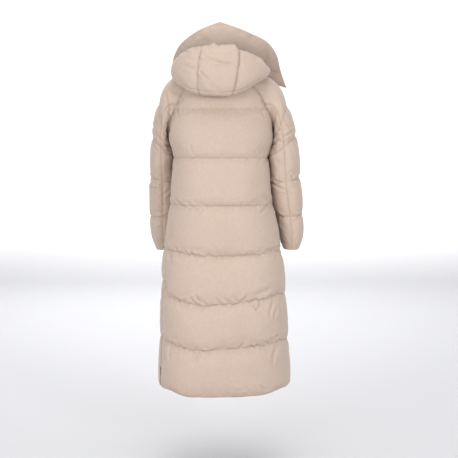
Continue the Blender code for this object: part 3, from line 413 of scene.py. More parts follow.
def side_angle(level, face, side):
    """The angle of a panel's edge at a side of the body: side seam, side zip, then raglan seam."""
    levels, back_to = np.unique(level, return_inverse=True)
    seam = read(TWIST, "degrees", levels) + (0.0 if side > 0 else 180.0)
    way = side if face == "back" else -side
    vent = seam + around_from(seam, levels, way * np.maximum(vent_half(levels), 1e-9))
    raglan = read(RAGLAN, face, np.maximum(levels, UNDERARM)) * (1.0 if face == "back" else -1.0)
    edge = np.where(levels > UNDERARM, on_side(side, raglan), vent)
    return edge[back_to].reshape(np.shape(level))


def panel_angles(level, share, face, side):
    """Angles of a panel's columns. A share of 0 is its edge at the left side, or at the side it is on."""
    edge = side_angle(level, face, side)
    if face == "back":
        return edge + share * (side_angle(level, face, -side) - edge)
    wide = read(BODY, "half_width", row_height(-90.0, level)) - STITCHED - BODY_FILL
    middle = -90.0 + angle_for(front_half(level), wide)
    return edge + share * (on_side(side, middle) - edge)


def run_across(points):
    """Distance of each point of a grid from its first column, along its row."""
    steps = np.linalg.norm(np.diff(points, axis=1), axis=2)
    return np.concatenate((np.zeros((len(points), 1)), np.cumsum(steps, axis=1)), axis=1)


def run_along(points):
    """Distance of each point of a grid from its first row, along its column."""
    return run_across(points.swapaxes(0, 1)).swapaxes(0, 1)


# Sleeves

def on_side(side, angle):
    """The same angle on the left side, or mirrored to the right."""
    return angle if side > 0 else 180.0 - angle


def loop(side, k):
    """The loop of a sleeve's armhole, where k goes from the underarm up the back and down the front."""
    rise = NECK_START
    up_back = np.clip(k / rise, 0.0, 1.0)
    down_front = np.clip((1.0 - k) / rise, 0.0, 1.0)
    level = UNDERARM - UNDERARM * np.where(k < 0.5, up_back, down_front)
    back = read(RAGLAN, "back", level)
    front = read(RAGLAN, "front", level)
    round_neck = np.clip((k - rise) / (1.0 - 2.0 * rise), 0.0, 1.0)
    turned = np.where(k < rise, back, np.where(k > 1.0 - rise, -front, back + round_neck * (-front - back)))
    return body_inside(on_side(side, turned), level)


def ring(side, along, turn):
    """A sleeve's plain section as an ellipse: turn is 0 at the underarm and pi over the shoulder."""
    rows = LEFT_SLEEVE if side > 0 else RIGHT_SLEEVE
    first = along < rows["along"][0]
    share = np.clip(along / rows["along"][0], 0.0, 1.0)
    wall_thick = STITCHED + SLEEVE_FILL
    back = -read(rows, "forward", along)
    over = stack(side * read(rows, "over_out", along), back, read(rows, "over_height", along))
    under = stack(side * read(rows, "under_out", along), back, read(rows, "under_height", along))
    inward = unit(over - under) * wall_thick
    over = over - inward
    under = under + inward
    deep = read(rows, "half_depth", along) - wall_thick
    seam_over = loop(side, np.array(0.5))
    seam_under = loop(side, np.array(0.0))
    bend = share[..., None]
    over = np.where(first[..., None], seam_over + bend * (over - seam_over), over)
    under = np.where(first[..., None], seam_under + bend * (under - seam_under), under)
    deep = np.where(first, ARMHOLE_DEEP + share * (deep - ARMHOLE_DEEP), deep)
    middle = 0.5 * (over + under)
    half = 0.5 * (over - under)
    return middle - half * np.cos(turn)[..., None] + stack(0.0, deep * np.sin(turn), 0.0)


def loop_turn(side, k):
    """The turn of the ellipse that each place of the armhole's loop lies nearest to."""
    seam_over = loop(side, np.array(0.5))
    seam_under = loop(side, np.array(0.0))
    middle = 0.5 * (seam_over + seam_under)
    half = 0.5 * (seam_over - seam_under)
    away = loop(side, k) - middle
    cosine = -(away @ half) / (half @ half)
    sine = away[..., 1] / ARMHOLE_DEEP
    turn = np.arctan2(sine, cosine)
    return np.where(turn < -1e-9, turn + 2.0 * math.pi, turn)


def even_turn(k):
    """The turn of each column further down the arm, where the columns lie evenly between the two seams."""
    columns = sleeve_columns()
    last = len(columns) - 1
    seams = np.array((0, REAR_SEAM_LEVEL, last - REAR_SEAM_LEVEL, last), float)
    evened = np.interp(np.arange(last + 1.0), seams, np.radians((0.0, 90.0, 270.0, 360.0)))
    return through(k, columns, evened)


def armhole_shape(side):
    """How the armhole's loop differs from the sleeve's first ellipse, as waves around it."""
    places = 8 * WAVES
    k = np.linspace(0.0, 1.0, 2 * places + 1)
    turn = loop_turn(side, k[1:-1])
    around = np.radians(np.arange(places) * 360.0 / places)
    differs = loop(side, k[1:-1]) - ring(side, np.zeros_like(turn), turn)
    order = np.argsort(turn)
    even = [np.interp(around, turn[order], column, period=2.0 * math.pi) for column in differs[order].T]
    return np.fft.rfft(np.stack(even), axis=1)[:, :WAVES] / places


def sleeve_inside(side, along, k):
    """The plain inside of a sleeve, from the armhole's loop into the tube of the arm."""
    k = np.mod(k, 1.0)
    even = smooth(np.clip(along / EVEN_BY, 0.0, 1.0))
    first_turn = loop_turn(side, k)
    first_turn = np.where((k < 0.25) & (first_turn > math.pi), first_turn - 2.0 * math.pi, first_turn)
    turn = first_turn + even * (even_turn(k) - first_turn)
    shape = armhole_shape(side)

    def shaped(down, kept, at):
        point = ring(side, down, at)
        for wave in range(WAVES):
            spun = np.exp(1j * wave * at) * (1.0 if wave == 0 else 2.0)
            fading = kept * np.exp(-wave * WAVE_FADE * down)
            point = point + np.real(shape[:, wave] * spun[..., None]) * fading[..., None]
        return point

    kept = 1.0 - smooth(np.clip(along / ARMHOLE_FADE, 0.0, 1.0))
    none = np.zeros_like(along)
    missed = loop(side, k) - shaped(none, none + 1.0, first_turn)
    return shaped(along, kept, turn) + missed * np.exp(-along / MISSED_FADE)[..., None]


def sleeve_normals(side, along, k):
    """Unit normals of a sleeve's inside, away from the arm."""
    small = 2e-3
    base = np.maximum(along, 0.0)
    forward = sleeve_inside(side, base + small, k) - sleeve_inside(side, base, k)
    around = sleeve_inside(side, base, k + small) - sleeve_inside(side, base, k - small)
    return side * unit(np.cross(around, forward))


def raglan_rims(side, face, level):
    """Direction of the cut edge that the body and a sleeve share along the raglan seam."""
    k = NECK_START * (level - UNDERARM) / -UNDERARM
    k = k if face == "back" else 1.0 - k
    edge = read(RAGLAN, face, level) * (1.0 if face == "back" else -1.0)
    angle = on_side(side, edge)
    return unit(body_normals(angle, level) + sleeve_normals(side, np.zeros_like(level), k))


def sleeve_columns():
    """The columns of a sleeve, from the underarm round to it again. They meet the body's rows."""
    levels = body_levels()
    levels = levels[levels >= UNDERARM - TINY]
    rise = NECK_START * (levels - UNDERARM) / -UNDERARM
    neck = np.linspace(NECK_START, 1.0 - NECK_START, NECK_ARC + 1)[1:-1]
    return np.concatenate((rise, neck, 1.0 - rise[::-1]))


def armhole_rims(side, columns):
    """Directions of a sleeve's first edge: along the raglan seams, and round the neck."""
    rims = []
    for k in np.mod(columns, 1.0):
        if NECK_START - TINY <= k <= 1.0 - NECK_START + TINY:
            share = (k - NECK_START) / (1.0 - 2.0 * NECK_START)
            back = RAGLAN["back"][-1]
            front = RAGLAN["front"][-1]
            angle = back + share * (-front - back)
            rims.append(neck_rims(np.array([on_side(side, angle)]))[0])
        else:
            face = "back" if k < 0.5 else "front"
            level = UNDERARM - UNDERARM * min(k, 1.0 - k) / NECK_START
            rims.append(raglan_rims(side, face, np.array([level]))[0])
    return np.array(rims)


# Collar

def collar_end():
    """Degrees past the side where the front edges meet the neck seam."""
    return -float(panel_angles(np.array(0.0), np.array(1.0), "front", 1))


def collar_angle(around):
    """Angle of the neck seam under a place of the collar: around is 0 at the back, 1 at the left end."""
    return 90.0 - around * (90.0 + collar_end())


def collar_outside(around, up, inside, out):
    """The fill side of the collar over a grid of its inside."""
    edge = collar_inside(around, np.ones_like(up))
    high = np.linalg.norm(edge - collar_inside(around, np.zeros_like(up)), axis=-1)
    to_end = (1.0 - np.abs(around)) * COLLAR_HALF
    to_stitch = np.abs(np.abs(around) - COLLAR_STITCH) * COLLAR_HALF
    fill = COLLAR_FILL * beside(FOLD_ROLL * up * high)
    for distance in ((1.0 - up) * high, to_end, to_stitch):
        fill = fill * beside(distance)
    return inside + out * (STITCHED + fill)[..., None]


def collar_inside(around, up):
    """The plain inside of the collar, from the neck seam up to its open edge."""
    foot = body_inside(collar_angle(around), np.zeros_like(around))
    share = np.abs(around)
    left = around >= 0.0
    out, forward, height = (
        np.where(left, read(LEFT_COLLAR, way, share), read(RIGHT_COLLAR, way, share))
        for way in ("out", "forward", "height")
    )
    top = stack(np.where(left, out, -out), -forward, height)
    away = unit(stack(foot[..., 0], foot[..., 1], np.zeros_like(around)))
    rise, lean = (
        at_back + share * (at_front - at_back) for at_back, at_front in (COLLAR_RISE, COLLAR_LEAN)
    )
    bend = foot + stack(0.0, 0.0, rise) + away * lean[..., None]
    up = up[..., None]
    return foot * (1.0 - up) ** 2 + bend * 2.0 * up * (1.0 - up) + top * up ** 2


def collar_normals(around, up):
    """Unit normals of the collar's inside, pointing to its outer side."""
    return normals(collar_inside, around, up, -1.0)


def neck_rims(angle):
    """Direction of the cut edge that the body, the sleeves and the collar share round the neck."""
    around = (90.0 - np.where(angle > 270.0, angle - 360.0, angle)) / (90.0 + collar_end())
    around = np.clip(around, -1.0, 1.0)
    level = np.zeros_like(angle)
    return unit(body_normals(angle, level - 1e-3) + collar_normals(around, level + 1e-3))


# Hood

def hood_foot(turn):
    """Where the hood is sewn to the outside of the collar, a seam's gap away from it."""
    around = turn / (90.0 + collar_end())
    up = np.full_like(around, HOOD_FOOT)
    inside = collar_inside(around, up)
    out = collar_normals(around, up)
    return collar_outside(around, up, inside, out) + out * 2.0 * SEAM_GAP


def hood_inside(turn, along):
    """The pouch side of the hood: turn is degrees from the back to the left, along runs neck to rim."""
    turn, along = np.broadcast_arrays(turn, along)
    size = np.abs(turn)
    drop = HOOD_DROP * np.clip(-turn / HOOD_DROP_BY, 0.0, 1.0)
    points = [hood_foot(turn)]
    for k in range(1, len(HOOD_POINTS)):
        radius = read(HOOD, f"r{k}", size)
        sunk = drop * np.clip((HOOD_POINTS[k] - HOOD_DROP_FROM) / (1.0 - HOOD_DROP_FROM), 0.0, 1.0)
        height = read(HOOD, f"z{k}", size) - sunk + RAISED_POINTS[k] * read(HOOD_RAISED, "raised", turn)
        points.append(stack(radius * np.sin(np.radians(turn)), radius * np.cos(np.radians(turn)), height))
    return across(along, points)


def across(along, points):
    """Smooth curve through seven points, at the shares in HOOD_POINTS, for whole grids of them."""
    places = np.array(HOOD_POINTS)
    values = np.stack(points)
    step = np.diff(places)
    weight = step[:, None, None, None]
    slope = np.diff(values, axis=0) / weight
    inner = (slope[:-1] * weight[1:] + slope[1:] * weight[:-1]) / (weight[:-1] + weight[1:])
    slopes = np.concatenate((slope[:1], inner, slope[-1:]))
    k, share = located(along, places)
    t = np.clip(share, 0.0, 1.0)[..., None]
    pick = np.meshgrid(*[np.arange(n) for n in along.shape], indexing="ij")
    low, high, low_slope, high_slope = (of[(at, *pick)] for of in (values, slopes) for at in (k, k + 1))
    rise = smooth(t)
    bend = step[k][..., None] * (low_slope * t * (1.0 - t) ** 2 + high_slope * t * t * (t - 1.0))
    return low * (1.0 - rise) + high * rise + bend


def hood_turns(first, last, along):
    """Columns between two seams, each a pair of degrees at the rim and at the bottom."""
    low = np.clip((1.0 - along) / (1.0 - HOOD_LOWEST), 0.0, 1.0)
    start = first[0] + low * (first[1] - first[0])
    end = last[0] + low * (last[1] - last[0])
    share = np.linspace(0.0, 1.0, HOOD_COLUMNS + 1)
    return start[:, None] + share[None, :] * (end - start)[:, None]


# Fine grids

BACK_STEP = 0.0050  # spacing of the back's rows and columns
FRONT_STEP = 0.0055
BACK_ACROSS = 0.80  # a panel's width from which its number of columns follows
FRONT_ACROSS = 0.40
SUBDIVIDED = 5  # fine columns of a sleeve to each of the solid's
SLEEVE_STEPS = 150
COLLAR_COLUMNS = 148
COLLAR_ROWS = 44
HOOD_ROWS = 110
HOOD_COLUMNS = 36
SEAM_ROLL = 1.9  # how much sooner than the solid's the cloth's fill rises beside a seam
ZIP_ROLL = 0.5  # and beside a side zip, where it lies flatter
SEAM_DIP = 0.45  # share of the fill that is missing where a seam lies almost level with the fabric
SEAM_WIDE = 0.0048
RAGLAN_FROM = (0.030, 0.080)  # height over the underarm in which a raglan seam comes to lie level
RAGLAN_TO = 0.035  # depth under the neck seam in which it sinks in again
START_FILL = 0.86  # share of the fill's height that the cloth starts from
FOLD_NARROW = 6  # how narrow the underarm's fold is around the sleeve
# Heights at which each sleeve is pressed against the body, and how much fuller it is there
NEAR_BODY = {1: ((-0.353, 0.011),), -1: ((-0.352, 0.013), (-0.453, 0.008))}
NEAR_BODY_REACH = 0.024
LOW_LINE_UP = 0.020  # the sewn line above the fold along the hood's bottom
LOW_LINE_DIP = 0.45
LOW_LINE_WIDE = 0.0035
RIM = table(  # how far the hood's rim rises or drops across it, as it shows from behind
    "x rise",
    (-0.190, -0.012),
    (-0.181, -0.013),
    (-0.1685, -0.009),
    (-0.148, 0.007),
    (-0.105, 0.002),
    (-0.066, -0.003),
    (-0.052, 0.013),
    (-0.019, 0.005),
    (0.008, -0.002),
    (0.022, 0.010),
    (0.042, 0.003),
    (0.075, 0.002),
    (0.124, 0.007),
    (0.161, 0.0),
)
RIM_REACH = 0.028
LOW_FOLD = table(  # the same for the fold along its bottom
    "x rise",
    (-0.190, 0.0),
    (-0.126, 0.006),
    (-0.042, -0.009),
    (0.024, -0.004),
    (0.085, 0.001),
    (0.135, 0.003),
    (0.175, -0.006),
)
LOW_REACH = 0.050


def steps_between(lines, step):
    """Rows from the first line to the last, about a step apart, with every line among them."""
    rows = []
    for low, high in zip(lines, lines[1:]):
        count = max(2, round(abs(high - low) / step))
        rows += [low + (high - low) * k / count for k in range(count)]
    return np.array(rows + [lines[-1]])


def level_seam(distance):
    """Height of the fill at a distance from a seam that lies almost level with the fabric."""
    return 1.0 - SEAM_DIP * bell(distance, SEAM_WIDE)


def raglan_level(level):
    """How nearly level the raglan seam lies with the fabric, from 0 at the underarm and the neck to 1."""
    low, high = RAGLAN_FROM
    up = np.clip((level - UNDERARM - low) / (high - low), 0.0, 1.0)
    return up * np.clip(-level / RAGLAN_TO, 0.0, 1.0)


def body_piece(face, side):
    """A panel's fine grid: inside, way out, height of the fill, and which rows are quilt lines."""
    wide, step = (BACK_ACROSS, BACK_STEP) if face == "back" else (FRONT_ACROSS, FRONT_STEP)
    levels = steps_between(LINES, step)
    share, level = np.meshgrid(np.linspace(0.0, 1.0, 2 * round(wide / step / 2.0) + 1), levels)
    angle = panel_angles(level, share, face, side)
    inside = body_inside(angle, level)
    out = body_normals(angle, level)
    run = run_across(inside)
    fill = body_fill(angle) * quilted(level, LINES, LINE_KEPT)
    beside_zip = np.where(level < VENT_TOP, ZIP_ROLL, SEAM_ROLL)
    level_share = raglan_level(level)
    raglan = levels >= UNDERARM - TINY
    seams = ((0, side, run), (-1, -side, run[:, -1:] - run)) if face == "back" else ((0, side, run),)
    for column, end, distance in seams:
        out[raglan, column] = raglan_rims(end, face, levels[raglan])
        in_fold = (1.0 - level_share) * beside(distance * beside_zip)
        fill = fill * (in_fold + level_share * level_seam(distance))
    if face == "front":
        fill = fill * beside(run[:, -1:] - run)
    out[-1] = neck_rims(angle[-1])
    long_run = run_along(inside)
    fill = fill * beside(long_run) * beside(long_run[-1:] - long_run)
    return inside, out, fill, np.isin(np.round(levels, 6), np.round(LINES, 6))


def sleeve_fill(inside, columns, rows):
    """Height of the fill over a piece of a sleeve, thin where the underarm folds it."""
    run = run_across(inside)
    k = np.mod(columns, 1.0)
    under = np.cos(math.pi * columns) ** FOLD_NARROW
    folded = np.clip(1.0 - rows / FOLD_BY, 0.0, 1.0)[:, None] * under[None, :]
    fill = SLEEVE_FILL * quilted(rows, SLEEVE_LINES, SLEEVE_KEPT)[:, None]
    fill = fill * level_seam(run) * level_seam(run[:, -1:] - run)
    for low, high in zip(SLEEVE_LINES, SLEEVE_LINES[1:]):
        there = (rows >= low) & (rows <= high)
        lengths = np.linalg.norm(np.diff(inside[there], axis=0), axis=2).sum(axis=0)
        fill[there] *= narrow(lengths)[None, :]
    share = raglan_level(UNDERARM * (1.0 - np.minimum(np.minimum(k, 1.0 - k) / NECK_START, 1.0)))
    down = run_along(inside)
    return fill * (1.0 - folded) * ((1.0 - share) * beside(FOLD_ROLL * down) + share * level_seam(down))


def sleeve_pieces(side):
    """The fine grids of a sleeve's top and under pieces, as body_piece gives them."""
    solid = sleeve_columns()
    last = len(solid) - 1
    columns = np.interp(np.arange(last * SUBDIVIDED + 1) / SUBDIVIDED, np.arange(last + 1), solid)
    rows = steps_between(SLEEVE_LINES, 1.0 / SLEEVE_STEPS)
    k, along = np.meshgrid(columns, rows)
    inside = sleeve_inside(side, along, k)
    out = sleeve_normals(side, along, k)
    for _ in range(NORMAL_PASSES * SUBDIVIDED ** 2):
        beside_each = np.roll(out[:, :-1], 1, axis=1) + np.roll(out[:, :-1], -1, axis=1)
        beside_each = np.concatenate((beside_each, beside_each[:, :1]), axis=1)
        out[1:-1] = unit(2.0 * out[1:-1] + beside_each[1:-1] + out[:-2] + out[2:])
        out[-1] = unit(out[-1] + out[-2])
    out[0] = armhole_rims(side, columns)
    lines = np.isin(np.round(rows, 6), np.round(SLEEVE_LINES, 6))
    rear = REAR_SEAM_LEVEL * SUBDIVIDED
    fore = len(columns) - 1 - rear
    top = slice(rear, fore + 1)
    under = np.concatenate((columns[fore:] - 1.0, columns[1:rear + 1]))
    inside_under, out_under = (
        np.concatenate((values[:, fore:], values[:, 1:rear + 1]), axis=1) for values in (inside, out)
    )
    fill_top = sleeve_fill(inside[:, top], columns[top], rows)
    fill_under = sleeve_fill(inside_under, under, rows)
    for level, more in NEAR_BODY[side]:
        near = bell(inside_under[..., 2] - level, NEAR_BODY_REACH)
        fill_under = fill_under + more * near * np.maximum(-side * out_under[..., 0], 0.0)
    return (inside[:, top], out[:, top], fill_top, lines), (inside_under, out_under, fill_under, lines)


def collar_piece():
    """The collar's fine grid, as body_piece gives it."""
    rows = np.linspace(0.0, 1.0, COLLAR_ROWS + 1)
    around, up = np.meshgrid(np.linspace(-1.0, 1.0, COLLAR_COLUMNS + 1), rows)
    inside = collar_inside(around, up)
    out = collar_normals(around, up)
    out[0] = neck_rims(collar_angle(around[0]))
    outside = collar_outside(around, up, inside, out)
    fill = np.linalg.norm(outside - inside, axis=-1) - STITCHED
    return inside, out, fill, np.zeros(len(up), bool)


def hood_piece(first, last):
    """The fine grid of a hood panel between two of its seams or ends, as body_piece gives it."""
    rows = np.linspace(0.0, 1.0, HOOD_ROWS + 1)
    turn = hood_turns(first, last, rows)
    along = np.broadcast_to(rows[:, None], turn.shape)
    inside = hood_inside(turn, along)
    out = normals(hood_inside, turn, along, -1.0)
    run = run_across(inside)
    long_run = run_along(inside)
    to_rim = long_run[-1:] - long_run
    fill = HOOD_FILL * beside(long_run) * beside(to_rim)
    for place, away in ((first, run), (last, run[:, -1:] - run)):
        fill = fill * (level_seam(away) if place in HOOD_SEAMS else beside(away))
    lowest = inside[..., 2].argmin(axis=0)
    from_low = long_run - long_run[lowest, np.arange(len(lowest))]
    fill = fill * (1.0 - LOW_LINE_DIP * bell(from_low - LOW_LINE_UP, LOW_LINE_WIDE))
    x = inside[..., 0]
    for outline, away, reach in ((RIM, to_rim, RIM_REACH), (LOW_FOLD, from_low, LOW_REACH)):
        inside[..., 2] += np.interp(x, outline["x"], outline["rise"]) * bell(away, reach)
    return inside, out, fill, np.zeros(len(rows), bool)


# Gathers and creases

PLEAT_EVERY = 0.015  # along a quilt line or seam
PLEAT_HIGH = 0.0046
PLEAT_WIDE = (0.0030, 0.0080)
PLEAT_LONG = (0.014, 0.075)
PLEAT_SLANT = 0.55
PLEAT_RISE = (-1.0, 0.8)  # the deepest dent and the highest ridge, as shares of the height
PLEAT_START = 0.005  # distance from the line over which a pleat rises
SHORT_PLEATS = 2.2  # more makes more of the pleats short
CALM = 0.45  # share of the gathers in the middle of a line
CALM_FROM = 0.11  # metres from its ends
SAG = 0.0035  # how far the fabric over a quilt line hangs down towards it
SAG_REACH = 0.012
RUFFLE_HIGH = 0.0034 / 1.6  # how far each of its waves moves a quilt line to and fro
RUFFLE_WAVES = (0.021, 0.034, 0.055)
RUFFLE_FADE = 0.022
RUFFLE_PATCH = 0.31  # along a line, from one patch of ruffles to the next
PATCHY = 0.4


def pleats(run, distance, random, strength):
    """Ridges and dents that run away from a line: run is metres along it, distance metres from it."""
    length = float(run.max())
    raised = np.zeros_like(run)
    for _ in range(max(3, round(length / PLEAT_EVERY))):
        place = random.uniform(0.0, length)
        wide = random.uniform(*PLEAT_WIDE)
        reach = PLEAT_LONG[0] + (PLEAT_LONG[1] - PLEAT_LONG[0]) * random.random() ** SHORT_PLEATS
        slant = random.normal(0.0, PLEAT_SLANT)
        high = PLEAT_HIGH * random.uniform(*PLEAT_RISE)
        off = (run - place - slant * distance) / (wide * (1.0 + distance / reach))
        near = 1.0 - np.exp(-distance / PLEAT_START)
        raised += high * bell(off, 1.0) * near * bell(distance, reach)
    return raised * strength


def gathered(inside, lines, random, strengths):
    """Height that the gathers beside each line add over a grid, and how far the quilt lines wander."""
    run = run_across(inside)
    long_run = run_along(inside)
    raised = np.zeros(run.shape)
    wander = np.zeros(run.shape)
    last = len(lines) - 1
    for strength, row in zip(strengths, np.flatnonzero(lines)):
        away = long_run - long_run[row]
        for way, none_there in ((-1.0, row == 0), (1.0, row == last)):
            if not none_there:
                raised += np.where(way * away >= 0.0, pleats(run, np.abs(away), random, strength), 0.0)
        phases = random.uniform(0.0, 2.0 * math.pi, len(RUFFLE_WAVES))
        if 0 < row < last:
            turns = 2.0 * math.pi * run[row]
            waves = sum(np.sin(turns / wave + phase) for wave, phase in zip(RUFFLE_WAVES, phases))
            patchy = 1.0 - PATCHY + PATCHY * np.sin(turns / RUFFLE_PATCH + phases[0])
            wander += RUFFLE_HIGH * strength * (waves * patchy) * bell(away, RUFFLE_FADE)
            over = np.maximum(away, 0.0) / SAG_REACH
            wander -= SAG * strength * over * np.exp(1.0 - over)
    to_end = np.minimum(run, run[:, -1:] - run)
    ends = beside(0.5 * to_end)
    stronger = CALM + (1.0 - CALM) * bell(to_end, CALM_FROM)
    return raised * ends * stronger, wander * ends


REARWARD = 1e-3  # how much a fold's end leans to the side that is seen
FOLD_ROUND = 0.05  # how far forward of its ends a fold may lie
FOLD_UNIT = 0.001  # the tables give depth and width in millimetres
FOLD_DEEPER = 1.25
FOLD_BOW = 0.05  # how far a fold bends from the straight line, as a share of its length
FOLD_BLUNT = 0.08  # how far along its shape a fold starts and ends, where more is blunter
FOLD_FULL = 0.6  # how soon it reaches its full depth
RIDGE_OFF = 2.1  # from a fold's middle to the ridge beside it, in widths
RIDGE_WIDE = 1.3
RIDGE_HIGH = 0.5
# Each row is x and z of the start, x and z of the end, depth and width
BACK_FOLDS = (
    (0.2198, -0.8195, 0.2006, -0.8772, 5, 4),
    (0.2006, -0.8772, 0.139, -0.9042, 4.5, 4),
    (0.2236, -1.0311, 0.2044, -1.0619, 5, 4),
    (0.2044, -1.0619, 0.1583, -1.0811, 4.5, 4),
    (0.2121, -0.6772, 0.1986, -0.7099, 4, 4),
    (0.143, -0.9, 0.131, -0.935, 5, 3.5),
    (0.116, -0.887, 0.088, -0.911, 4.5, 4),
    (0.093, -0.879, 0.073, -0.906, 5, 4.5),
    (0.085, -0.916, 0.065, -0.936, 4, 4),
    (0.07, -0.891, 0.053, -0.916, 4.5, 4),
    (0.02, -0.885, -0.011, -0.914, 6, 4.5),
    (-0.015, -0.891, -0.046, -0.909, 4, 5),
    (-0.049, -0.879, -0.073, -0.903, 4, 4.5),
    (-0.073, -0.905, -0.101, -0.88, 4.5, 4.5),
    (-0.1, -0.9, -0.125, -0.896, 3, 4),
    (-0.123, -0.916, -0.136, -0.94, 5, 4),
    (-0.136, -0.94, -0.151, -0.914, 4.5, 4),
    (-0.142, -0.877, -0.192, -0.855, 4, 9),
    (0.168, -1.066, 0.137, -1.088, 5, 4),
    (0.101, -1.097, 0.076, -1.102, 3.5, 4),
    (0.07, -1.087, 0.046, -1.1, 4.5, 4),
    (-0.061, -1.078, -0.085, -1.067, 4.5, 4),
    (-0.107, -1.072, -0.135, -1.076, 4, 4),
    (-0.157, -1.053, -0.181, -1.063, 4.5, 4),
    (-0.19, -1.055, -0.223, -1.038, 4, 5),
    (0.016, -1.083, -0.019, -1.077, 3, 5),
    (-0.196, -0.916, -0.189, -0.973, 4, 6),
    (-0.212, -0.931, -0.203, -0.979, 3.5, 6),
    (-0.226, -0.916, -0.232, -0.966, 3.5, 5),
    (0.193, -0.727, 0.188, -0.771, 3, 6),
    (-0.211, -0.72, -0.216, -0.764, 3, 6),
    (0.085, -0.739, 0.104, -0.762, 2.5, 6),
    (0.193, -1.089, 0.197, -1.133, 3, 7),
    (-0.211, -1.087, -0.199, -1.147, 4, 7),
    (0.07, -1.104, 0.101, -1.141, 3.5, 6),
    (0.213, -0.693, 0.192, -0.716, 5, 4),
    (0.17, -0.703, 0.154, -0.72, 4, 4),
    (0.135, -0.71, 0.115, -0.727, 4.5, 4),
    (0.116, -0.715, 0.092, -0.734, 4.5, 4.5),
    (0.085, -0.723, 0.069, -0.733, 3.5, 4),
    (-0.169, -0.716, -0.227, -0.701, 3.5, 5),
    (-0.034, -1.24, -0.1, -1.238, 3, 4),
    (-0.15, -1.227, -0.17, -1.245, 4, 4),
    (0.135, -0.9, 0.124, -0.939, 3, 6),
    (0.187, -0.52, 0.169, -0.54, 4, 4),
    (0.169, -0.52, 0.152, -0.54, 4, 4),
    (0.152, -0.531, 0.131, -0.543, 3.5, 4),
    (0.124, -0.528, 0.107, -0.545, 3, 5),
    (0.1, -0.547, 0.081, -0.569, 3, 5),
    (0.081, -0.569, 0.066, -0.549, 3, 5),
    (-0.023, -0.544, -0.036, -0.573, 2.5, 6),
    (-0.048, -0.544, -0.056, -0.565, 2.5, 6),
    (-0.15, -0.569, -0.179, -0.54, 4, 5),
    (-0.179, -0.536, -0.2, -0.531, 3, 4),
    (-0.166, -0.503, -0.196, -0.524, 2.5, 6),
    (0.112, -0.307, 0.108, -0.34, 2.5, 6),
    (0.075, -0.372, 0.069, -0.409, 2, 7),
    (-0.174, -0.381, -0.183, -0.352, 3, 5),
    (0.173, -0.139, 0.163, -0.2, 5, 4),
    (-0.158, -0.179, -0.166, -0.208, 3, 5),
    (-0.172, -0.126, -0.187, -0.167, 3, 6),
    (0.128, -0.188, 0.13, -0.208, 2, 5),
)
LEFT_SLEEVE_FOLDS = (
    (0.276, -0.434, 0.247, -0.456, 4, 4),
    (0.281, -0.465, 0.251, -0.467, 3, 4),
    (0.281, -0.484, 0.255, -0.486, 3.5, 4),
    (0.229, -0.508, 0.207, -0.49, 3, 5),
    (0.276, -0.575, 0.251, -0.585, 3, 4),
    (0.264, -0.575, 0.221, -0.578, 3, 4),
    (0.239, -0.599, 0.218, -0.592, 3, 4),
    (0.276, -0.61, 0.255, -0.623, 2.5, 5),
    (0.27, -0.238, 0.224, -0.302, 4, 5),
    (0.224, -0.302, 0.191, -0.317, 4, 6),
    (0.266, -0.303, 0.253, -0.334, 5, 4),
    (0.238, -0.315, 0.195, -0.336, 3, 6),
    (0.251, -0.263, 0.238, -0.298, 3, 5),
    (0.212, -0.113, 0.191, -0.181, 5, 4),
    (0.202, -0.181, 0.191, -0.209, 3.5, 4),
)
RIGHT_SLEEVE_FOLDS = (
    (-0.191, -0.313, -0.22, -0.291, 5, 4.5),
    (-0.22, -0.291, -0.249, -0.304, 3.5, 5),
    (-0.241, -0.281, -0.276, -0.257, 4, 5),
    (-0.218, -0.242, -0.229, -0.263, 3, 4),
    (-0.206, -0.445, -0.236, -0.457, 4, 4),
    (-0.2, -0.46, -0.249, -0.487, 5, 4),
    (-0.275, -0.434, -0.284, -0.458, 4, 4),
    (-0.288, -0.444, -0.314, -0.434, 4, 4),
    (-0.217, -0.575, -0.241, -0.591, 5, 4),
    (-0.275, -0.57, -0.284, -0.593, 3.5, 4),
    (-0.296, -0.586, -0.322, -0.591, 3, 4),
    (-0.236, -0.61, -0.249, -0.639, 2, 6),
)
HOOD_FOLDS = (
    (0.059, 0.015, -0.054, -0.015, 5.5, 4),
    (0.055, -0.02, -0.048, -0.022, 2, 8),
    (0.075, -0.038, 0.05, -0.062, 4.5, 4),
    (0.05, -0.062, 0.022, -0.102, 3, 6),
    (0.059, -0.069, 0.033, -0.107, 2.5, 5),
    (0.081, -0.086, 0.057, -0.078, 4, 3.5),
    (0.14, -0.017, 0.074, -0.029, 3, 6),
    (0.112, 0.005, 0.073, 0.007, 2.5, 5),
    (0.167, -0.047, 0.13, -0.086, 2.5, 7),
    (-0.066, -0.016, -0.089, -0.053, 2, 8),
    (0.018, -0.069, 0.013, -0.11, 2, 7),
    (0.14, 0.037, 0.091, 0.049, 2, 6),
)


def fold_ends(points, folds):
    """Folds on the side of some pieces that is seen from behind, with their ends moved onto the pieces."""
    flat = np.concatenate([piece.reshape(-1, 3) for piece in points])
    found = []
    for x_start, z_start, x_end, z_end, deep, wide in folds:
        ends = []
        for place in ((x_start, z_start), (x_end, z_end)):
            off = np.sum((flat[:, (0, 2)] - place) ** 2, axis=1)
            ends.append(flat[np.argmin(off - REARWARD * flat[:, 1])])
        found.append((*ends, deep * FOLD_UNIT * FOLD_DEEPER, wide * FOLD_UNIT))
    return found


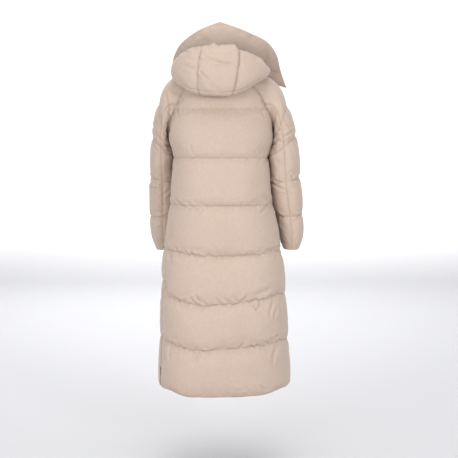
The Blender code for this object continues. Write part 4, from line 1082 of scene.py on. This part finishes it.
def creased(points, folds):
    """Depth of folds pressed into a grid: each a start, an end, a depth and a width, as seen from behind."""
    depth = np.zeros(points.shape[:2])
    seen = points[..., (0, 2)]
    for start, end, deep, wide in folds:
        line = (end - start)[[0, 2]]
        share = np.clip(((seen - start[[0, 2]]) @ line) / (line @ line), 0.0, 1.0)
        off = seen - start[[0, 2]] - share[..., None] * line
        bow = FOLD_BOW * np.linalg.norm(line) * np.sin(math.pi * share) ** 2
        side = np.sign(line[0] * off[..., 1] - line[1] * off[..., 0])
        far = np.abs(np.linalg.norm(off, axis=-1) * side - bow)
        rear = points[..., 1] > min(start[1], end[1]) - FOLD_ROUND
        strong = np.sin(math.pi * (FOLD_BLUNT + (1.0 - 2.0 * FOLD_BLUNT) * share)) ** FOLD_FULL
        ridge = RIDGE_HIGH * bell(far - RIDGE_OFF * wide, RIDGE_WIDE * wide)
        depth += np.where(rear, deep * strong * (ridge - bell(far, wide)), 0.0)
    return depth


# Cloth

CLOTH_FRAMES = 16
LINE_GROWTH = 0.085  # how much wider than the wall the fabric is cut along a quilt line
GROWTH_FADE = 0.035
CLOTH = {
    "quality": 4,
    "mass": 0.15,
    "tension_stiffness": 8.0,
    "compression_stiffness": 8.0,
    "shear_stiffness": 4.0,
    "bending_stiffness": 0.02,
    "shrink_min": -0.015,  # how much larger the fabric is cut both ways
    "use_pressure": True,
}
THINNEST = 0.0024  # how thin the cloth may press a wall
SEAM_SHADE = 0.0026  # distance over which the shade beside a seam fades
SHARP = 60.0  # degrees between two faces from which their edge is shaded as sharp


def linked(name, data):
    """A new object with that data, linked to the scene."""
    made = bpy.data.objects.new(name, data)
    bpy.context.scene.collection.objects.link(made)
    return made


def new_mesh(name, points, faces):
    """A mesh of an array of points, of any shape, and lists of their numbers."""
    mesh = bpy.data.meshes.new(name)
    mesh.from_pydata(points.reshape(-1, 3).tolist(), [], faces)
    return mesh


def quads(index):
    """The faces of a grid of point numbers."""
    corners = (index[:-1, :-1], index[:-1, 1:], index[1:, 1:], index[1:, :-1])
    return np.stack(corners, axis=-1).reshape(-1, 4)


def numbered(points, first=0):
    """The numbers of a grid's points."""
    rows, columns = points.shape[:2]
    return first + np.arange(rows * columns).reshape(rows, columns)


def faces_out(points, out):
    """Whether a grid's faces look the way out."""
    turned = np.cross(points[1, 1] - points[1, 0], points[1, 1] - points[0, 1])
    return float(np.dot(turned, out[1, 1])) > 0.0


def row_growth(inside, lines, strengths, between):
    """How much wider than the wall the fabric is cut at each row."""
    long_run = run_along(inside).mean(axis=1)
    growth = np.full(len(lines), between)
    for strength, row in zip(strengths, np.flatnonzero(lines)):
        growth += LINE_GROWTH * strength * bell(long_run - long_run[row], GROWTH_FADE)
    return growth


def pressed(inside, out, heights, wander, pinned, growth, pressure, most):
    """The outer fabric of a piece after Blender's Cloth has filled it out, as a grid of points.

    heights are the starting and the settled height over the inside, growth the fabric's spare width by row.
    """
    along = np.gradient(inside, axis=0)
    shift = unit(along) * wander[..., None]
    start, settled = (inside + shift + out * height[..., None] for height in heights)
    mesh = new_mesh("fabric", start, quads(numbered(start)).tolist())
    if not faces_out(start, out):
        mesh.flip_normals()
    made = linked("fabric", mesh)
    made.shape_key_add(name="Basis")
    middle = start.mean(axis=1, keepdims=True)
    cut_wide = middle + (start - middle) * (1.0 + growth[:, None, None])
    rest = made.shape_key_add(name="cut")
    rest.data.foreach_set("co", cut_wide.reshape(-1))
    group = made.vertex_groups.new(name="held")
    group.add([int(k) for k in np.flatnonzero(pinned.reshape(-1) > 0.5)], 1.0, "REPLACE")
    cloth = made.modifiers.new("cloth", "CLOTH")
    for key, value in CLOTH.items():
        setattr(cloth.settings, key, value)
    cloth.settings.rest_shape_key = rest
    cloth.settings.vertex_group_mass = group.name
    cloth.settings.uniform_pressure_force = pressure
    cloth.settings.effector_weights.gravity = 0.0
    cloth.collision_settings.use_collision = False
    cloth.point_cache.frame_start = 1
    cloth.point_cache.frame_end = CLOTH_FRAMES
    for step in range(1, CLOTH_FRAMES + 1):
        bpy.context.scene.frame_set(step)
    filled = made.evaluated_get(bpy.context.evaluated_depsgraph_get()).data
    points = np.zeros(start.size)
    filled.vertices.foreach_get("co", points)
    points = points.reshape(start.shape)
    bpy.data.objects.remove(made)
    bpy.data.meshes.remove(mesh)
    bpy.context.scene.frame_set(1)
    moved = points - settled
    far = np.linalg.norm(moved, axis=-1, keepdims=True)
    points = settled + moved * (most * np.tanh(far / most) / np.maximum(far, 1e-9))
    height = np.sum((points - inside) * out, axis=-1)
    return points + out * np.maximum(THINNEST - height, 0.0)[..., None]


def drawn_in(points):
    """The four edges of a grid of points, drawn in by half a seam's gap."""
    points = points.copy()
    half = DRAWN_IN * SEAM_GAP
    for grid in (points, points.swapaxes(0, 1)):
        for edge, beyond in ((0, 1), (-1, -2)):
            grid[edge] += half * unit(grid[beyond] - grid[edge])
    return points


def closed_wall(name, inside, outside, seam):
    """A closed wall with a fine outside and an inside of every second row and column."""
    inside = drawn_in(inside[::2, ::2])
    outside = drawn_in(outside)
    fine = numbered(outside)
    rough = numbered(inside, fine.size)
    faces = quads(fine).tolist() + quads(rough)[:, ::-1].tolist()
    slots = [0] * len(quads(fine)) + [1] * len(quads(rough))
    for edge, under, way in (
        (fine[0], rough[0], 1),
        (fine[-1], rough[-1], -1),
        (fine[:, 0], rough[:, 0], -1),
        (fine[:, -1], rough[:, -1], 1),
    ):
        for k in range(len(under) - 1):
            face = (edge[2 * k + 2], edge[2 * k + 1], edge[2 * k], under[k], under[k + 1])
            faces.append([int(v) for v in face[::way]])
            slots.append(0)
    mesh = new_mesh(name, np.concatenate((outside.reshape(-1, 3), inside.reshape(-1, 3))), faces)
    mesh.update()
    mesh.polygons.foreach_set("material_index", slots)
    bm = bmesh.new()
    bm.from_mesh(mesh)
    if bm.calc_volume(signed=True) < 0.0:
        bmesh.ops.reverse_faces(bm, faces=bm.faces[:])
    bm.to_mesh(mesh)
    bm.free()
    # the share of painted shade beside seams and stitch lines, none on the inside
    near = np.concatenate((seam.reshape(-1), np.zeros(rough.size))).astype(np.float32)
    mesh.attributes.new("seam", "FLOAT", "POINT").data.foreach_set("value", near)
    mesh.shade_smooth()
    mesh.set_sharp_from_angle(angle=math.radians(SHARP))
    return linked(name, mesh)


def painted_seam_shade_share(points, pinned):
    """Share of painted shade: 1 on a stitch line or seam, fading to 0 over the fabric beside it."""
    long_run = run_along(points)
    run = run_across(points)
    distance = np.minimum(run, run[:, -1:] - run)
    for row in np.flatnonzero(pinned.all(axis=1)):
        distance = np.minimum(distance, np.abs(long_run - long_run[row]))
    return np.exp(-distance / SEAM_SHADE)


# Stitches and zip teeth

STITCH_EVERY = 0.0042
STITCH = (0.0029, 0.0007, 0.0006)  # long, wide and high
EDGE_ROW = 2  # rows of the grid from the hem, a cuff or a rim to its own row of stitches
TOOTH_EVERY = 0.0026
TOOTH = (0.0013, 0.0021, 0.0011)  # along the zip, across it and high
TOOTH_PAST = 0.3  # share of a tooth that lies past the tape's edge
TEETH_BELOW = 0.004  # from the end of a zip down to its last tooth
BLOCK_SUNK = 0.3  # share of a small block's height that lies in the fabric
BLOCK_TOP = 0.6  # size of its top, as a share of its foot


def spaced(line, out, every, first=0.5):
    """Places at an even spacing along a line, with the direction of the line and the way out at each."""
    length = np.concatenate(((0.0,), np.cumsum(np.linalg.norm(np.diff(line, axis=0), axis=1))))
    at = np.arange(first * every, length[-1], every)
    near = 0.4 * every
    place, ahead, behind, outward = (
        np.stack([np.interp(where, length, values[:, axis]) for axis in range(3)], axis=1)
        for where, values in ((at, line), (at + near, line), (at - near, line), (at, out))
    )
    return list(zip(place, unit(ahead - behind), unit(outward)))


def small_blocks(rows, size):
    """Corners and faces of small blocks with a narrower top, each from its place, long way and way out."""
    corners = []
    for place, ahead, outward in rows:
        across = unit(np.cross(ahead, outward))
        for up, wide in ((-BLOCK_SUNK, 1.0), (1.0 - BLOCK_SUNK, BLOCK_TOP)):
            for a, b in ((-0.5, -0.5), (0.5, -0.5), (0.5, 0.5), (-0.5, 0.5)):
                flat = ahead * (size[0] * a * wide) + across * (size[1] * b * wide)
                corners.append(place + flat + outward * (size[2] * up))
    box = np.array(((3, 2, 1, 0), (4, 5, 6, 7), (0, 1, 5, 4), (1, 2, 6, 5), (2, 3, 7, 6), (3, 0, 4, 7)))
    faces = (np.arange(len(corners) // 8)[:, None, None] * 8 + box).reshape(-1, 4)
    return np.array(corners), faces


def small_mesh(name, rows, size, material):
    """One piece of many small blocks, on the coat's body."""
    corners, faces = small_blocks(rows, size)
    mesh = new_mesh(name, corners, faces.tolist())
    mesh.materials.append(material)
    shown = linked(name, mesh)
    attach(shown, "coat")


def tape_edge(inside, out, edge):
    """The line where a tape meets the other one, and the way out there."""
    line = inside[:, edge]
    under = unit(inside[:, 1 if edge == 0 else edge - 1] - line)
    outward = unit(out[:, edge])
    outward = unit(outward - under * np.sum(outward * under, axis=1, keepdims=True))
    return line - under * (TAPE_SHOWS - TOOTH_PAST * TOOTH[1]) - outward * TAPE_SUNK, outward


# Materials

WHITE = (1.0, 1.0, 1.0)
SHELL_LIGHT = (0.500, 0.391, 0.318)
SHELL_DARK = (0.470, 0.363, 0.294)
FINE_DARK = (0.93, 0.93, 0.93)
# painted shade that darkens the fabric beside seams and stitch lines
PAINTED_SEAM_SHADE = (0.90, 0.865, 0.83)
MID_STOPS = (0.3, 0.7)  # where a ramp over noise starts and ends
CLOUDS = (5.0, 3.0)  # scale and detail of a noise on the shell, and the roughness of some
SPECKS = (90.0, 4.0, 0.6)
SHINE = (40.0, 3.0)
PUCKERS = (55.0, 4.0, 0.55)
WEAVE = {"Scale": 320.0, "Distortion": 0.6}


class Shading:
    """A new material with a principled shader, and short ways to add to its nodes."""

    def __init__(self, name):
        self.material = bpy.data.materials.new(name)
        self.material.use_nodes = True
        self.tree = self.material.node_tree
        self.tree.nodes.clear()
        self.shader = self.node("BsdfPrincipled")
        self.node("OutputMaterial", {"Surface": self.shader.outputs["BSDF"]})

    def feed(self, node, inputs):
        """Sets each input to a value, or links it to another node's output."""
        for key, value in inputs.items():
            if isinstance(value, bpy.types.NodeSocket):
                self.tree.links.new(value, node.inputs[key])
            else:
                node.inputs[key].default_value = value

    def node(self, kind, inputs=None, **settings):
        made = self.tree.nodes.new(f"ShaderNode{kind}")
        for key, value in settings.items():
            setattr(made, key, value)
        self.feed(made, inputs or {})
        return made

    def place(self):
        return self.node("TexCoord").outputs["Object"]

    def noise(self, place, scale, detail, rough=0.5):
        inputs = {"Scale": scale, "Detail": detail, "Roughness": rough, "Vector": place}
        return self.node("TexNoise", inputs).outputs["Fac"]

    def ramp(self, value, low, high, stops=(0.0, 1.0)):
        made = self.node("ValToRGB", {"Fac": value})
        for element, stop, colour in zip(made.color_ramp.elements, stops, (low, high)):
            element.position = stop
            element.color = (*colour, 1.0)
        return made.outputs["Color"]

    def spread(self, value, low, high):
        return self.node("MapRange", {"To Min": low, "To Max": high, "Value": value}).outputs["Result"]

    def times(self, first, second):
        inputs = {"Factor": 1.0, "A": first, "B": second}
        return self.node("Mix", inputs, data_type="RGBA", blend_type="MULTIPLY").outputs["Result"]

    def bump(self, height, strength, distance, **more):
        inputs = {"Strength": strength, "Distance": distance, "Height": height, **more}
        return self.node("Bump", inputs).outputs["Normal"]


def shell_material():
    """Matte satin nylon: a fine weave, small puckers, colour that shifts, and painted shade that deepens it
    at seams and stitch lines.
    """
    made = Shading("shell_nylon")
    place = made.place()
    base = made.ramp(made.noise(place, *CLOUDS), SHELL_DARK, SHELL_LIGHT, MID_STOPS)
    base = made.times(base, made.ramp(made.noise(place, *SPECKS), FINE_DARK, WHITE, MID_STOPS))
    # share of painted shade beside seams and stitch lines, stored on each mesh
    seam = made.node("Attribute", attribute_name="seam").outputs["Fac"]
    waves = [made.node("TexWave", {"Vector": place, **WEAVE}, bands_direction=way) for way in ("Z", "X")]
    woven = made.node("Math", {0: waves[0].outputs["Fac"], 1: waves[1].outputs["Fac"]}, operation="MAXIMUM")
    weave = made.bump(woven.outputs["Value"], 0.10, 0.0002)
    made.feed(made.shader, {
        "Base Color": made.times(base, made.ramp(seam, WHITE, PAINTED_SEAM_SHADE)),
        "Roughness": made.spread(made.noise(place, *SHINE), 0.52, 0.66),
        "Sheen Weight": 0.18,
        "Sheen Roughness": 0.45,
        "Specular IOR Level": 0.35,
        "Normal": made.bump(made.noise(place, *PUCKERS), 0.35, 0.0012, Normal=weave),
    })
    return made.material


def plain_material(name, colour, roughness, metallic, grain, depth):
    """A hard or woven small part: its colour and roughness shift a little, over a fine grain."""
    made = Shading(name)
    noise = made.noise(made.place(), grain, 3.0)
    made.feed(made.shader, {
        "Base Color": made.ramp(noise, [0.75 * part for part in colour], colour, MID_STOPS),
        "Roughness": made.spread(noise, roughness - 0.06, roughness + 0.06),
        "Metallic": metallic,
        "Normal": made.bump(noise, 0.3, depth),
    })
    return made.material


# The pieces

GATHERS = {  # strength of the gathers at each end and line of a kind of piece
    "body": (1.5, 1.15, 1.2, 0.9, 0.7, 0.5, 0.45, 0.4),
    "sleeve": (0.4, 0.8, 0.8, 0.7, 0.7, 0.7),
    "collar": (0.5, 0.3),
    "hood": (0.9, 1.0),
}
# how strongly the painted seam shade shows at each end and quilt line of a kind of piece
PAINTED_SEAM_SHADE_SHOWN = {  # how much of a seam's shade shows there, where that isn't all of it
    "body": (1.0, 1.0, 1.0, 0.9, 0.8, 0.6, 0.4, 0.5),
}
CUT = {  # the fabric's spare width, the pressure of its fill, and how far the cloth may move
    "body": (0.018, 1.8, 0.007),
    "sleeve": (0.020, 1.6, 0.006),
    "collar": (0.010, 0.8, 0.004),
    "hood": (0.012, 1.2, 0.005),
}
FIRST_SEED = 40


def edges_held(shape, lines):
    """1 where the fabric is stitched down: on the lines and the four edges."""
    held = np.zeros(shape)
    held[lines] = 1.0
    held[0] = held[-1] = 1.0
    held[:, 0] = held[:, -1] = 1.0
    return held


def cloth_piece(name, grid, folds, seed):
    """The finished piece of a fine grid, and its outside as a grid of points."""
    inside, out, fill, lines = grid
    kind = kind_of(name)
    strengths = GATHERS[kind]
    painted_shade_shown = PAINTED_SEAM_SHADE_SHOWN.get(kind, np.ones(len(strengths)))
    spare, pressure, most = CUT[kind]
    random = np.random.default_rng(seed)
    held = edges_held(fill.shape, lines)
    rows = np.arange(len(lines))
    ended = lines | np.isin(rows, (0, len(lines) - 1))
    raised, wander = gathered(inside, ended, random, strengths)
    shaped = fill + raised + creased(inside + out * fill[..., None], folds)
    heights = [np.maximum(STITCHED + part * shaped, THINNEST) for part in (START_FILL, 1.0)]
    growth = row_growth(inside, ended, strengths, spare)
    outside = pressed(inside, out, heights, wander, held, growth, pressure, most)
    shade = painted_seam_shade_share(outside, held) * np.interp(rows, np.flatnonzero(ended), painted_shade_shown)[:, None]
    made = closed_wall(f"{name}_cloth", inside, outside, shade)
    made.data.materials.append(SHELL)
    made.data.materials.append(LINING)
    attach(made, "coat")
    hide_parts(name)
    return made, outside


def declared_sheet(made, name, inside):
    """Works out a piece's width and length from its inside, and the steps of its grid both ways, without
    using them.
    """
    width = float(run_across(inside)[:, -1].max())
    length = float(run_along(inside)[-1].max())
    steps_across = np.linalg.norm(np.diff(inside, axis=1), axis=2)[:-1]
    steps_along = np.linalg.norm(np.diff(inside, axis=0), axis=2)[:, :-1]


def kind_of(name):
    """Whether a piece is body, sleeve, collar or hood."""
    word = name.split("_")[0]
    return "body" if word in ("back", "front") else "sleeve" if "sleeve" in name else word


SHELL = shell_material()
LINING = plain_material("lining_satin", (0.46, 0.365, 0.30), 0.42, 0.0, 260.0, 0.0002)
THREAD = plain_material("thread", (0.43, 0.335, 0.275), 0.6, 0.0, 700.0, 0.0001)
TAPE = plain_material("zip_tape_weave", (0.105, 0.066, 0.045), 0.8, 0.0, 900.0, 0.0002)
METAL = plain_material("zip_bronze", (0.30, 0.22, 0.16), 0.36, 1.0, 220.0, 0.00005)

grids = {
    "back": body_piece("back", 1),
    "front_left": body_piece("front", 1),
    "front_right": body_piece("front", -1),
}
for side, word in ((1, "left"), (-1, "right")):
    grids[f"top_sleeve_{word}"], grids[f"under_sleeve_{word}"] = sleeve_pieces(side)
grids["collar"] = collar_piece()
ends = (-HOOD_END, -HOOD_END), *HOOD_SEAMS, (HOOD_END, HOOD_END)
for word, first, last in zip(("right", "middle", "left"), ends, ends[1:]):
    grids[f"hood_{word}"] = hood_piece(first, last)

folds = {}
for names, rows in (
    (("back",), BACK_FOLDS),
    (("top_sleeve_left", "under_sleeve_left"), LEFT_SLEEVE_FOLDS),
    (("top_sleeve_right", "under_sleeve_right"), RIGHT_SLEEVE_FOLDS),
    (("hood_right", "hood_middle", "hood_left"), HOOD_FOLDS),
):
    found = fold_ends([grids[name][0] + grids[name][1] * grids[name][2][..., None] for name in names], rows)
    folds.update({name: found for name in names})

stitches = []
for seed, (name, grid) in enumerate(grids.items()):
    made, outside = cloth_piece(name, grid, folds.get(name, ()), FIRST_SEED + seed)
    declared_sheet(made, name, grid[0])
    last = len(outside) - 1
    sewn = [row for row in np.flatnonzero(grid[3]) if 0 < row < last]
    sewn.append(EDGE_ROW if kind_of(name) == "body" else last - EDGE_ROW)
    for row in sewn:
        stitches += spaced(outside[row, 1:-1], grid[1][row, 1:-1], STITCH_EVERY)
small_mesh("stitches", stitches, STITCH, THREAD)

for word, tapes in {
    "front": (("front_left", -1, LINES[-1]), ("front_right", -1, LINES[-1])),
    "left": (("back", 0, VENT_TOP), ("front_left", 0, VENT_TOP)),
    "right": (("back", -1, VENT_TOP), ("front_right", 0, VENT_TOP)),
}.items():
    teeth = []
    for first, (name, edge, top) in zip((0.5, 1.0), tapes):
        levels = steps_between(LINES, BACK_STEP if name == "back" else FRONT_STEP)
        inside, out = (values[levels < top - TEETH_BELOW] for values in grids[name][:2])
        teeth += spaced(*tape_edge(inside, out, edge), TOOTH_EVERY, first)
    small_mesh(f"{word}_zip_teeth", teeth, TOOTH, METAL)

for name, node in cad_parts.items():
    if "zip_" in name or name.endswith(("slider", "pull")):
        node.data.materials.clear()
        node.data.materials.append(TAPE if "zip_" in name else METAL)


# Floor, light and camera

FLOOR = -1.54
WALL = -7.5  # the backdrop, far beyond the coat
SWEEP_ROUND = 2.5
SWEEP_TOP = 5.0
SWEEP_HALF = 10.0
SWEEP_FRONT = 9.0  # how far the floor runs on behind the camera
SWEEP_STEPS = 24
# painted light and shade: the floor painted darker and the backdrop paler, blended by height
PAINTED_PALE_FROM = -1.2  # height of the backdrop from which it is palest
FLOOR_PAINTED_SHADE = (0.525, 0.525, 0.54)
BACKDROP_PAINTED_LIGHT = (0.95, 0.95, 0.955)
FLOOR_ROUGHNESS = 0.75
LIGHTS = (  # name, place, aim, size and power
    ("key", (-2.2, 3.6, 0.2), (0.0, 0.0, -0.4), 1.0, 72.0),
    ("fill_light", (2.3, 3.5, -0.1), (0.0, 0.0, -0.35), 2.2, 77.0),
    ("top", (0.0, 0.6, 3.2), (0.0, 0.0, -0.6), 2.6, 40.0),
    ("front_light", (0.6, -4.6, 1.8), (0.0, 0.0, -0.6), 2.4, 84.0),
    ("backdrop_light", (0.0, -3.5, 3.4), (0.0, -6.3, FLOOR), 4.6, 140.0),
)
WORLD_COLOUR = (0.975, 0.98, 1.0, 1.0)
WORLD_STRENGTH = 0.76
LENS = 83.87  # for a sensor of 36 mm
CAMERA_PLACE = (-0.0315, 4.2, -0.30)
CAMERA_DOWN = 4.66  # degrees below level that the camera looks
CAMERA_REACH = 60.0


def backdrop():
    """The floor and backdrop as one sheet: flat, a quarter round and upright, with painted light that makes
    it paler with height over a floor painted darker.
    """
    arc = np.radians(np.linspace(0.0, 90.0, SWEEP_STEPS + 1))
    y = np.concatenate(([SWEEP_FRONT], WALL + SWEEP_ROUND - SWEEP_ROUND * np.sin(arc), [WALL]))
    z = np.concatenate(([FLOOR], FLOOR + SWEEP_ROUND * (1.0 - np.cos(arc)), [SWEEP_TOP]))
    across = np.array((-SWEEP_HALF, SWEEP_HALF))
    points = stack(across[None, :], y[:, None], z[:, None])
    mesh = new_mesh("floor_and_backdrop", points, quads(numbered(points)).tolist())
    mesh.shade_smooth()
    made = Shading("floor_and_backdrop")
    parts = made.node("SeparateXYZ", {"Vector": made.place()})
    height = made.node("MapRange", {"From Min": FLOOR, "From Max": PAINTED_PALE_FROM, "Value": parts.outputs["Z"]})
    made.feed(made.shader, {
        "Base Color": made.ramp(height.outputs["Result"], FLOOR_PAINTED_SHADE, BACKDROP_PAINTED_LIGHT),
        "Roughness": FLOOR_ROUGHNESS,
    })
    mesh.materials.append(made.material)
    linked("floor_and_backdrop", mesh)


def area_light(name, place, aim, size, power):
    """A round soft light that looks at a point."""
    light = bpy.data.lights.new(name, "AREA")
    light.shape = "DISK"
    light.size = size
    light.energy = power
    shown = linked(name, light)
    shown.location = place
    x, y, z = np.subtract(aim, place)
    shown.rotation_euler = (math.atan2(math.hypot(x, y), -z), 0.0, math.atan2(-x, y))


backdrop()
for light in LIGHTS:
    area_light(*light)

world = bpy.data.worlds.new("studio")
bpy.context.scene.world = world
world.use_nodes = True
background = world.node_tree.nodes["Background"]
background.inputs["Color"].default_value = WORLD_COLOUR
background.inputs["Strength"].default_value = WORLD_STRENGTH

camera = bpy.data.cameras.new("camera")
camera.sensor_width = 36.0
camera.lens = LENS
camera.clip_end = CAMERA_REACH
viewer = linked("camera", camera)
viewer.location = CAMERA_PLACE
viewer.rotation_euler = (math.radians(90.0 - CAMERA_DOWN), 0.0, math.radians(180.0))
bpy.context.scene.camera = viewer
bpy.context.scene.view_settings.view_transform = "Standard"
